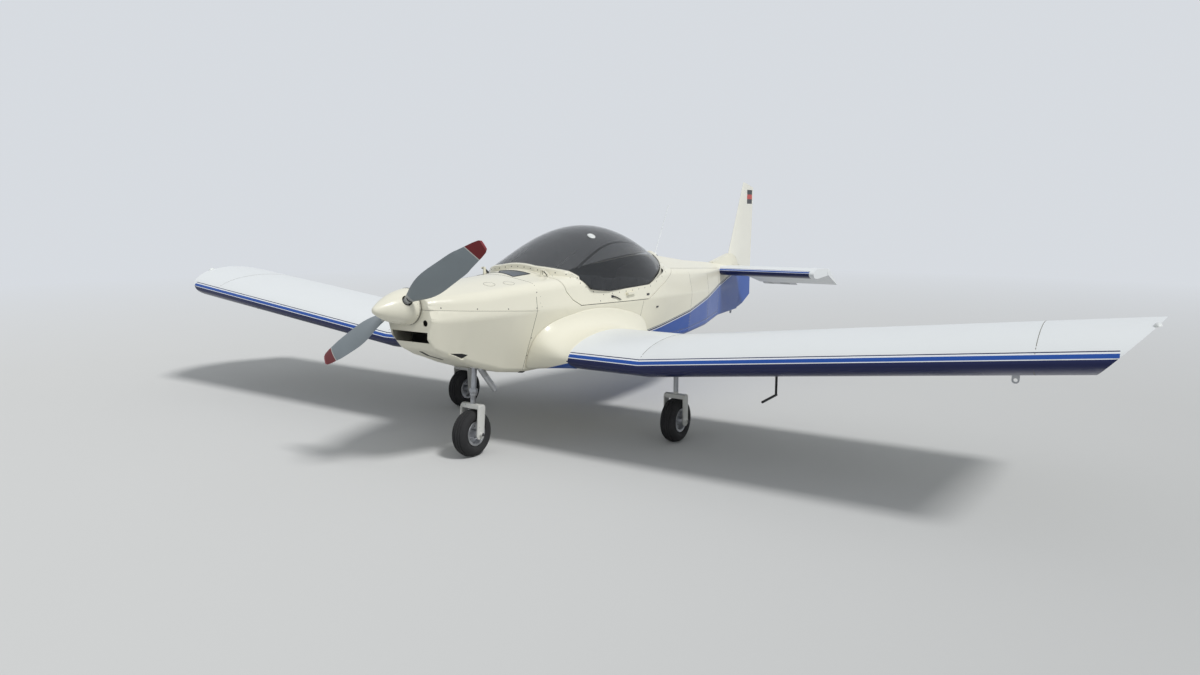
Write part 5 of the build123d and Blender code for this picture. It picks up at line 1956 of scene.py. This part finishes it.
@dataclass
class SeatPad:
    """One stuffed pad: a crowned rounded block that swells, with sewn channels."""

    shape: PadShape
    place: Matrix
    voxel: float = 0.008
    pressure: float = 4.0
    swell: float = 0.007
    frames: int = 20
    roundness: float = 7.0
    channel_width: float = 0.009
    channel_depth: float = 0.008

    def build(self) -> Piece:
        """Makes the pad.

        Returns:
            The finished pad.
        """
        pad = self._block()
        self._swell(pad)
        self._sew(pad)
        return pad

    def _block(self) -> Piece:
        """The crowned block before it swells.

        Returns:
            The block.
        """
        shape, power = self.shape, self.roundness
        work = bmesh.new()
        bmesh.ops.create_cube(work, size=1.0)
        bmesh.ops.subdivide_edges(work, edges=work.edges[:], cuts=11, use_grid_fill=True)
        for vert in work.verts:
            u, v, w = (2 * c for c in vert.co)
            reach = max(abs(u), abs(v), abs(w))
            norm = (abs(u) ** power + abs(v) ** power + abs(w) ** power) ** (1 / power)
            u, v, w = (c * reach / norm if norm else c for c in (u, v, w))
            narrow = 1.0 - shape.taper * (u + 1) / 2
            swelling = shape.crown * (1 - u * u) * (1 - v * v) if w > 0 else 0.0
            across, out = v * shape.width / 2 * narrow, w * shape.depth / 2 + swelling
            vert.co = Vector((u * shape.length / 2, across, out))
        bmesh.ops.transform(work, matrix=self.place, verts=work.verts)
        return from_bmesh(shape.name, work, SEAT_CLOTH, 80.0)

    def _replace_mesh(self, pad: Piece) -> None:
        """Bakes the pad's modifiers into its mesh.

        Args:
            pad: The pad.
        """
        graph = bpy.context.evaluated_depsgraph_get()
        mesh = bpy.data.meshes.new_from_object(pad.evaluated_get(graph))
        pad.modifiers.clear()
        pad.data = mesh
        mesh.materials.clear()
        mesh.materials.append(SEAT_CLOTH.material())

    def _swell(self, pad: Piece) -> None:
        """Lets the pad swell like stuffed cloth, each point by no more than the cap.

        Args:
            pad: The pad to swell.
        """
        remesh = pad.modifiers.new("voxels", "REMESH")
        remesh.mode = "VOXEL"
        remesh.voxel_size = self.voxel
        self._replace_mesh(pad)
        rest = [vert.co.copy() for vert in pad.data.vertices]
        cloth = pad.modifiers.new("stuffing", "CLOTH")
        cloth.settings.quality = 5
        cloth.settings.use_pressure = True
        cloth.settings.uniform_pressure_force = self.pressure
        cloth.settings.effector_weights.gravity = 0.0
        scene = bpy.context.scene
        for frame in range(1, self.frames + 1):
            scene.frame_set(frame)
        graph = bpy.context.evaluated_depsgraph_get()
        swollen = [vert.co.copy() for vert in pad.evaluated_get(graph).data.vertices]
        pad.modifiers.clear()
        for vert, before, after in zip(pad.data.vertices, rest, swollen):
            move = after - before
            if move.length > self.swell:
                move = move.normalized() * self.swell
            vert.co = before + move
        scene.frame_set(1)
        pad.data.shade_smooth()

    def _sew(self, pad: Piece) -> None:
        """Subdivides the pad once and pulls its sewn channels in.

        Args:
            pad: The pad to sew.
        """
        finer = pad.modifiers.new("finer", "SUBSURF")
        finer.levels = finer.render_levels = 1
        self._replace_mesh(pad)
        back = self.place.inverted()
        out = (self.place.to_3x3() @ UP).normalized()
        channels = (
            (0, self.shape.length / 2, self.shape.channels_across),
            (1, self.shape.width / 2, self.shape.channels_along),
        )
        for vert in pad.data.vertices:
            local = back @ vert.co
            if local.z < 0:
                continue
            pull = 0.0
            for axis, half, lines in channels:
                share = local[axis] / half
                pull += sum(math.exp(-(((share - line) * half / self.channel_width) ** 2)) for line in lines)
            vert.co -= out * self.channel_depth * min(1.0, pull)
        pad.data.shade_smooth()


@dataclass
class Cockpit:
    """Seats with belts, instrument panel with dials, glareshield and stick."""

    seat_middle_y: float = 0.221
    seat_middle: Pair = (-1.255, 0.755)
    back_foot: Pair = (-1.500, 0.800)
    back_middle: Pair = (0.012, 0.200)
    lean: float = math.radians(14)
    lap_belt: Triple = (-1.43, 0.10, 0.185)
    lap_belt_size: Pair = (0.044, 0.0020)
    buckle_x: float = -1.332
    buckle_size: Triple = (0.062, 0.044, 0.012)
    shoulder_foot: Pair = (0.045, 0.835)
    shoulder_rise: Pair = (0.045, 0.325)
    shoulder_size: Pair = (0.042, 0.0020)
    panel_rear_x: float = -0.5255
    dials: Rows = (
        (0.335, 1.065, 0.036),
        (0.245, 1.065, 0.036),
        (0.155, 1.065, 0.036),
        (0.335, 0.975, 0.036),
        (0.245, 0.975, 0.036),
        (-0.155, 1.075, 0.026),
        (-0.225, 1.075, 0.026),
        (-0.295, 1.075, 0.026),
        (-0.155, 1.010, 0.026),
        (-0.225, 1.010, 0.026),
    )
    dial_ticks: int = 12
    radios: Rows = ((1.085, 0.150, 0.044), (1.032, 0.150, 0.040), (0.984, 0.150, 0.040))
    radio_depth: float = 0.010
    knob: Line = ((0.0, 0.0), (0.0, 0.008), (0.012, 0.007), (0.012, 0.0))
    knobs_y: Pair = (-0.058, 0.064)
    switches: int = 8
    switch_row: Triple = (0.36, 0.028, 0.905)
    shield_x: Pair = (-0.532, 0.242)
    shield_z: Pair = (1.150, 0.075)
    shield_lip: Pair = (0.030, 0.15)
    shield_half: Pair = (0.372, 0.062)
    shield_crown: float = 0.022
    shield_wall: float = 0.006
    shield_cells: tuple[int, int] = (12, 24)
    boot_foot: Triple = (-0.822, 0.0, 0.640)
    boot_folds: int = 5

    def build(self) -> None:
        """Dresses the cockpit and furnishes it."""
        dress("instrument_panel", BLACK_PLASTIC, Body.AIRFRAME, Slot.DARK_PLASTIC, bevel=0.002)
        dress("seat_bench", BLACK_PLASTIC, Body.AIRFRAME, Slot.SEAT_CLOTH, bevel=0.004)
        dress("control_stick", DARK_STEEL, Body.AIRFRAME, Slot.STEEL)
        self._seats()
        self._dials()
        self._glareshield()
        self._boot()

    def _seats(self) -> None:
        """Makes both seats' pads and lays their belts on them."""
        base = PadShape("seat_pad", 0.470, 0.410, 0.066, 0.0, 0.006, (-0.30, 0.32), (-0.42, 0.42))
        back = PadShape("back_pad", 0.372, 0.405, 0.066, 0.14, 0.006, (-0.25, 0.30), (-0.45, 0.45))
        pads: list[Piece] = []
        belts, buckles = bmesh.new(), bmesh.new()
        ahead, up = self.back_middle
        upright = Matrix(((0, 0, 1, ahead), (0, 1, 0, 0), (1, 0, 0, up), (0, 0, 0, 1)))
        for side, label in zip(SIDES, ("port", "starboard")):
            middle_y = side * self.seat_middle_y
            seat_place = Matrix.Translation(at(self.seat_middle[0], middle_y, self.seat_middle[1]))
            foot = Matrix.Translation(at(self.back_foot[0], middle_y, self.back_foot[1]))
            back_place = foot @ Matrix.Rotation(-self.lean, 4, "Y") @ upright
            for shape, place in ((base, seat_place), (back, back_place)):
                pad = SeatPad(replace(shape, name=f"{shape.name}_{label}"), place).build()
                pads.append(pad)
                if shape is base:
                    self._lap_belt(belts, buckles, pad, middle_y)
                else:
                    self._shoulder_belts(belts, pad, middle_y)
        for index, pad in enumerate(pads):
            hand_over(pad, Body.AIRFRAME, Slot.SEAT_CLOTH, *(("seats",) if index == 0 else ()))
        hand_over(from_bmesh("seat_belts", belts, WEBBING), Body.AIRFRAME, Slot.SEAT_CLOTH)
        hand_over(from_bmesh("belt_buckles", buckles, ALUMINIUM), Body.AIRFRAME, Slot.STEEL)

    def _lap_belt(self, belts: Work, buckles: Work, pad: Piece, middle_y: float) -> None:
        """Lays one lap belt across a seat pad, with its buckle.

        Args:
            belts: The bmesh that takes the webbing.
            buckles: The bmesh that takes the buckle.
            pad: The seat pad.
            middle_y: The seat's middle.
        """
        skin = Skin(pad.data)
        rear, bow, half = self.lap_belt
        path = [(rear + bow * (1 - abs(t)), middle_y + half * t) for t in steps(-1.0, 1.0, 0.08)]
        ribbon(belts, laid(path, skin.from_above), *self.lap_belt_size)
        point, normal = sure(skin.from_above(self.buckle_x, middle_y))
        plate(buckles, (point + normal * 0.002, normal), ASIDE, *self.buckle_size)

    def _shoulder_belts(self, belts: Work, pad: Piece, middle_y: float) -> None:
        """Lays two shoulder belts down the front of a back pad.

        Args:
            belts: The bmesh that takes the webbing.
            pad: The back pad.
            middle_y: The seat's middle.
        """
        skin = Skin(pad.data)
        (apart, foot), (spread, rise) = self.shoulder_foot, self.shoulder_rise
        for hand in SIDES:
            points = []
            for level in steps(0.0, 1.0, 0.05):
                start = at(-1.0, middle_y + hand * (apart + spread * level), foot + rise * level)
                points.append(skin.hit(start, -AHEAD))
            ribbon(belts, [p for p in points if p is not None], *self.shoulder_size)

    def _dials(self) -> None:
        """Sets dials, radios and switches on the panel's rear face."""
        bezels, faces, marks = bmesh.new(), bmesh.new(), bmesh.new()
        out = -AHEAD
        for y, z, radius in self.dials:
            self._dial(bezels, faces, marks, at(self.panel_rear_x, y, z), radius, 0.7 + y * 5)
        front_x = self.panel_rear_x - self.radio_depth
        for z, width, height in self.radios:
            plate(bezels, (at(self.panel_rear_x, 0.0, z), out), ASIDE, width, height, self.radio_depth)
            plate(faces, (at(front_x, 0.018, z), out), ASIDE, width * 0.45, height * 0.5, 0.001)
            for y in self.knobs_y:
                turned(bezels, self.knob, at(front_x, y, z), out, 20)
        first_y, pitch, level = self.switch_row
        for index in range(self.switches):
            plate(marks, (at(self.panel_rear_x, first_y - index * pitch, level), out), UP, 0.016, 0.008, 0.009)
        hand_over(from_bmesh("dial_bezels", bezels, GREY_PLASTIC), Body.AIRFRAME, Slot.DARK_PLASTIC)
        hand_over(from_bmesh("dial_faces", faces, DIAL_FACE), Body.AIRFRAME, Slot.DARK_PLASTIC)
        hand_over(from_bmesh("dial_marks", marks, DIAL_MARK), Body.AIRFRAME, Slot.DARK_PLASTIC)

    def _dial(
        self, bezels: Work, faces: Work, marks: Work, middle: Vector, radius: float, reading: float
    ) -> None:
        """Adds one dial with its ring, face, ticks and needle.

        Args:
            bezels: The bmesh that takes the ring.
            faces: The bmesh that takes the face.
            marks: The bmesh that takes ticks and needle.
            middle: The dial's middle on the panel.
            radius: The ring's radius.
            reading: Angle of the needle from upright.
        """
        out = -AHEAD
        outline = ((0.0, 1.0), (0.006, 1.0), (0.008, 0.94), (0.008, 0.86), (0.001, 0.84), (0.0, 0.84))
        turned(bezels, [(along, radius * share) for along, share in outline], middle, out, 40)
        face = radius * 0.85
        turned(faces, [(0.0, 0.0), (0.0, face), (0.002, face), (0.002, 0.0)], middle, out, 40)
        for angle in turns(self.dial_ticks):
            toward = Vector((0, math.sin(angle), math.cos(angle)))
            spot = middle + out * 0.002 + toward * radius * 0.70
            plate(marks, (spot, out), toward, radius * 0.14, 0.0016, 0.0006, 0.001)
        toward = Vector((0, math.sin(reading), math.cos(reading)))
        spot = middle + out * 0.0028 + toward * radius * 0.25
        plate(marks, (spot, out), toward, radius * 0.75, 0.0022, 0.0008, 0.001)

    def _glareshield(self) -> None:
        """Makes the curved dark shelf from the panel forward to the windscreen."""
        along, around = self.shield_cells
        (rear, reach), (foot, rise), (half, taper) = self.shield_x, self.shield_z, self.shield_half
        lip, lip_share = self.shield_lip
        rows = []
        for i in range(along + 1):
            share = i / along
            z = foot + rise * share - lip * max(0.0, lip_share - share) / lip_share
            row = []
            for j in range(around + 1):
                across = -1 + 2 * j / around
                y = across * (half - taper * share)
                row.append(at(rear + reach * share, y, z + self.shield_crown * (1 - across * across)))
            rows.append(row)
        work = bmesh.new()
        sheet(work, rows)
        bmesh.ops.recalc_face_normals(work, faces=work.faces)
        piece = walled(from_bmesh("glareshield", work, CABIN_LINING), self.shield_wall)
        hand_over(piece, Body.AIRFRAME, Slot.DARK_PLASTIC)

    def _boot(self) -> None:
        """Makes the ribbed rubber boot at the stick's foot."""
        profile = [(0.0, 0.0), (0.0, 0.050)]
        for fold in range(self.boot_folds):
            level = 0.006 + fold * 0.010
            profile += [(level, 0.046 - fold * 0.006), (level + 0.005, 0.040 - fold * 0.006)]
        profile += [(0.062, 0.013), (0.062, 0.0)]
        lean = Vector((-0.094, 0, 0.996))
        boot = lathe("stick_boot", profile, at(*self.boot_foot), lean, BLACK_RUBBER_AND_OPENING_SHADE, 40)
        hand_over(boot, Body.AIRFRAME, Slot.DARK_PLASTIC)


@dataclass
class PropellerUnit:
    """Blades with their root rings, and the spinner with its screws."""

    axis_z: float = 1.143
    plane_x: float = 0.957
    blade_angle: float = math.radians(29.2)
    shank_radius: float = 0.025
    ring_reach: float = 0.131
    ring_half: float = 0.002
    ring_rise: float = 0.0016
    foot_ring: Triple = (0.0045, 0.004, 0.0015)
    screw_x: float = 0.893
    screw_count: int = 10

    def build(self) -> None:
        """Dresses the turning parts and sets rings and screws."""
        dress("propeller", BLADE_GREY, Body.PROPELLER, Slot.PROPELLER_GREY, 45.0)
        dress("spinner", SPINNER_CREAM, Body.PROPELLER, Slot.CREAM_COMPOSITE, 40.0)
        self._rings()
        self._screws()

    def _rings(self) -> None:
        """Puts a dark ring round each blade's root and one round the spinner's foot."""
        work = bmesh.new()
        half, low, high = self.ring_half, self.shank_radius - 0.002, self.shank_radius + self.ring_rise
        profile = [(-half, low), (-half, high), (half, high), (half, low)]
        for side in SIDES:
            axis = radial(self.blade_angle) * side
            turned(work, profile, at(self.plane_x, 0, self.axis_z) + axis * self.ring_reach, axis, 48)
        low_corner, high_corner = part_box("spinner")
        width, sink, rise = self.foot_ring
        foot = (high_corner.y - low_corner.y) / 2
        ring = [(0.0, foot - sink), (0.0, foot + rise), (width, foot + rise), (width, foot - sink)]
        turned(work, ring, Vector((low_corner.x, 0, self.axis_z)), AHEAD, 96)
        hand_over(from_bmesh("dark_rings", work, BLACK_RUBBER_AND_OPENING_SHADE), Body.PROPELLER, Slot.PROPELLER_GREY)

    def _screws(self) -> None:
        """Sets the screws round the spinner's foot."""
        skin = Skin("spinner")
        middle = at(self.screw_x, 0, self.axis_z)
        spokes = [radial(t) for t in turns(self.screw_count, self.blade_angle + math.pi / self.screw_count)]
        screws = laid(((middle + out * 0.4, -out) for out in spokes), skin.hit)
        fasteners("spinner_screws", screws, Head.RIVET, Body.PROPELLER, Slot.STEEL)


@dataclass
class LandingGear:
    """Legs, forks, hubs with their bolts, and treaded tyres."""

    tyre_radius: float = 0.170
    tyre_half_width: float = 0.0625
    shoulder_drop: float = 0.052
    rim_radius: float = 0.0825
    bead: Line = ((0.042, 0.0), (0.042, 0.010), (0.050, 0.014))
    groove_depth: float = 0.005
    groove_width: float = 0.006
    grooves: tuple[float, ...] = (-0.030, -0.011, 0.011, 0.030)
    bolt_circle: float = 0.050
    bolts: int = 6
    leg_lean: float = math.radians(6)
    leg_foot: Triple = (0.296, 0, 0.170)
    collar: Pair = (0.440, 0.475)
    collar_radii: Triple = (0.018, 0.0235, 0.025)
    collar_chamfer: float = 0.003
    main_axle: Triple = (-0.815, 1.073, 0.170)

    def build(self) -> None:
        """Dresses the legs and makes the tyres and their bolts."""
        dress("nose_leg", STEEL, Body.NOSE_GEAR, Slot.STEEL)
        dress("nose_fork", GEAR_STEEL, Body.NOSE_GEAR, Slot.BARE_ALUMINIUM, bevel=0.002)
        dress("nose_leg_bearings", ALUMINIUM, Body.AIRFRAME, Slot.BARE_ALUMINIUM)
        dress("main_legs", GEAR_STEEL, Body.AIRFRAME, Slot.STEEL, bevel=0.002)
        wheels = (("nose", Body.NOSE_WHEEL), ("port", Body.PORT_WHEEL), ("starboard", Body.STARBOARD_WHEEL))
        for name, body in wheels:
            dress(f"hub_{name}", ALUMINIUM, body, Slot.BARE_ALUMINIUM, bevel=0.0015)
            low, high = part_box(f"tyre_{name}")
            middle = (low + high) / 2
            tyre = lathe(f"treaded_tyre_{name}", self._profile(), middle, ASIDE, RUBBER, 120)
            hand_over(tyre, body, Slot.TYRE_RUBBER, f"tyre_{name}")
            self._hub_bolts(name, body, middle)
        self._collar()
        self._axle_nuts()

    def _profile(self) -> list[Pair]:
        """Tyre outline with four grooves in its crown.

        Returns:
            Points as (across, radius).
        """
        outline = [(-across, self.rim_radius + rise) for across, rise in self.bead]
        for index in range(61):
            angle = math.pi * (index / 60)
            across = -self.tyre_half_width * math.cos(angle)
            radius = self.tyre_radius - self.shoulder_drop * (1 - math.sin(angle) ** 0.8)
            groove = any(abs(across - middle) < self.groove_width / 2 for middle in self.grooves)
            outline.append((across, radius - (self.groove_depth if groove else 0.0)))
        return outline + [(across, self.rim_radius + rise) for across, rise in reversed(self.bead)]

    def _hub_bolts(self, name: str, body: Body, middle: Vector) -> None:
        """Sets a circle of bolts on both faces of a hub.

        Args:
            name: The wheel's name.
            body: The wheel's body.
            middle: The wheel's middle.
        """
        skin = Skin(f"hub_{name}")
        found: list[Contact] = []
        for side in SIDES:
            out = ASIDE * side
            spokes = [Vector((math.cos(t), 0, math.sin(t))) * self.bolt_circle for t in turns(self.bolts)]
            contacts = laid(((middle + out * 0.3 + spoke, -out) for spoke in spokes), skin.hit)
            found += [contact for contact in contacts if contact[1].dot(out) > 0.5]
        fasteners(f"hub_bolts_{name}", found, Head.SCREW, body, Slot.STEEL, DARK_STEEL)

    def _collar(self) -> None:
        """Puts the pale collar on the nose leg."""
        box_low, box_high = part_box("nose_leg")
        low, high = self.collar
        if not box_low.z < low < high < box_high.z:
            raise ValueError("the collar is off the leg")
        lean = Vector((-math.tan(self.leg_lean), 0, 1)).normalized()
        start = at(*self.leg_foot) + lean * ((low - self.leg_foot[2]) / lean.z)
        length, cut = (high - low) / lean.z, self.collar_chamfer
        inner, edge, outer = self.collar_radii
        half = [(0.0, inner), (0.0, edge), (cut, outer)]
        profile = half + [(length - along, radius) for along, radius in reversed(half)]
        hand_over(lathe("nose_leg_collar", profile, start, lean, ALUMINIUM, 48), Body.NOSE_GEAR, Slot.STEEL)

    def _axle_nuts(self) -> None:
        """Sets a nut on each end of every axle."""
        x, y, z = self.main_axle
        for node, body, centres in (
            ("nose_fork", Body.NOSE_GEAR, (self.leg_foot,)),
            ("main_legs", Body.AIRFRAME, ((x, y, z), (x, -y, z))),
        ):
            rays = ((at(*centre) + ASIDE * side * 0.25, -ASIDE * side) for centre in centres for side in SIDES)
            found = laid(rays, Skin(node).hit)
            fasteners(f"{node}_nuts", found, Head.NUT, body, Slot.STEEL, DARK_STEEL)


@dataclass
class Fittings:
    """Pitot tube, antenna and tie-down rings."""

    antenna_x: float = -2.420
    antenna_seat: Triple = (0.034, 0.012, 0.8)

    def build(self) -> None:
        """Dresses the small fittings and seats the antenna."""
        dress("tie_down_rings", STEEL, Body.AIRFRAME, Slot.STEEL, bevel=0.001)
        dress("pitot_tube", BLACK_PLASTIC, Body.AIRFRAME, Slot.DARK_PLASTIC)
        dress("antenna", PLAIN_WHITE, Body.AIRFRAME, Slot.WHITE_COMPOSITE)
        work = bmesh.new()
        dome(work, sure(Skin("fuselage_tail").from_above(self.antenna_x, 0.0)), *self.antenna_seat)
        hand_over(from_bmesh("antenna_seat", work, BLACK_RUBBER_AND_OPENING_SHADE), Body.AIRFRAME, Slot.DARK_PLASTIC)


@dataclass
class Studio:
    """Camera, pale floor and soft light."""

    eye: Triple = (4.550, 3.828, 1.734)
    yaw: float = 212.660
    pitch: float = -8.786
    roll: float = -0.184
    lens: float = 24.223
    floor_size: float = 90.0
    floor_colour: Colour = (0.60, 0.60, 0.59)
    sky_colour: Colour = (0.68, 0.71, 0.75)
    sky_light: Colour = (0.92, 0.96, 1.0)
    fade: Pair = (6.0, 20.0)
    sun_energy: float = 1.9
    sun_width: float = math.radians(12)
    sun_from: Triple = (0.10, 0.62, 0.78)
    world_strength: float = 0.55

    def build(self) -> None:
        """Makes the whole stage."""
        self._camera()
        self._floor()
        self._light()

    def _camera(self) -> None:
        """Sets the photograph's viewpoint."""
        yaw, pitch, roll = (math.radians(a) for a in (self.yaw, self.pitch, self.roll))
        ahead = Vector((math.cos(yaw) * math.cos(pitch), math.sin(yaw) * math.cos(pitch), math.sin(pitch)))
        level = ahead.cross(UP).normalized()
        upright = level.cross(ahead)
        right = level * math.cos(roll) + upright * math.sin(roll)
        up = upright * math.cos(roll) - level * math.sin(roll)
        data = bpy.data.cameras.new("viewpoint")
        data.lens, data.sensor_width = self.lens, 36.0
        camera = bpy.data.objects.new("viewpoint", data)
        turn = Matrix((right, up, -ahead)).transposed().to_4x4()
        camera.matrix_world = Matrix.Translation(at(*self.eye)) @ turn
        bpy.context.scene.collection.objects.link(camera)
        bpy.context.scene.camera = camera

    def _floor(self) -> None:
        """Lays a wide pale floor that fades into the background far from the aircraft."""
        work = bmesh.new()
        bmesh.ops.create_grid(work, x_segments=1, y_segments=1, size=self.floor_size)
        mesh = bpy.data.meshes.new("floor")
        work.to_mesh(mesh)
        work.free()
        shader = Shader("pale_floor")
        x, y, _ = shader.place()
        soft = shader.noise(0.8, 3.0)
        tint = shader.mixed(soft * 0.25, self.floor_colour, tuple(c * 0.95 for c in self.floor_colour))
        reach = (x * x + y * y) ** 0.5
        near, far = self.fade
        share = shader.clamped((reach - near) * (1 / (far - near))) * shader.direct_view()
        ground = shader.node("ShaderNodeBsdfDiffuse", None, {"Color": tint, "Roughness": 0.5}).outputs[0]
        sky = {"Color": (*self.sky_colour, 1.0), "Strength": 1.0}
        haze = shader.node("ShaderNodeEmission", None, sky).outputs[0]
        mix = shader.node("ShaderNodeMixShader", None, {0: share, 1: ground, 2: haze}).outputs[0]
        shader.node("ShaderNodeOutputMaterial", None, {0: mix})
        floor = bpy.data.objects.new("floor", mesh)
        mesh.materials.append(shader.owner)
        bpy.context.scene.collection.objects.link(floor)

    def _light(self) -> None:
        """One broad soft lamp from port, and an even pale sky."""
        lamp = bpy.data.lights.new("soft_sun", "SUN")
        lamp.energy, lamp.angle = self.sun_energy, self.sun_width
        sun = bpy.data.objects.new("soft_sun", lamp)
        sun.rotation_mode = "QUATERNION"
        sun.rotation_quaternion = Vector(self.sun_from).to_track_quat("Z", "Y")
        bpy.context.scene.collection.objects.link(sun)
        shader = Shader("pale_sky", world=True)
        lit, seen = (
            shader.node("ShaderNodeBackground", None, {0: (*colour, 1), 1: strength}).outputs[0]
            for colour, strength in ((self.sky_light, self.world_strength), (self.sky_colour, 1.0))
        )
        mix = shader.node("ShaderNodeMixShader", None, {0: shader.direct_view(), 1: lit, 2: seen}).outputs[0]
        shader.node("ShaderNodeOutputWorld", None, {0: mix})
        bpy.context.scene.world = shader.owner
        bpy.context.scene.view_settings.view_transform = "Standard"


def main() -> None:
    """Builds the aircraft's sub-assemblies in order, then the stage."""
    logging.basicConfig(level=logging.INFO, format="%(message)s")
    parts = (
        Fuselage(),
        Cowling(),
        MainWing(),
        Tail(),
        Canopy(),
        Cockpit(),
        PropellerUnit(),
        LandingGear(),
        Fittings(),
    )
    for part in parts:
        LOG.info("building %s", type(part).__name__)
        part.build()
    Studio().build()


if __name__ == "__main__":
    main()
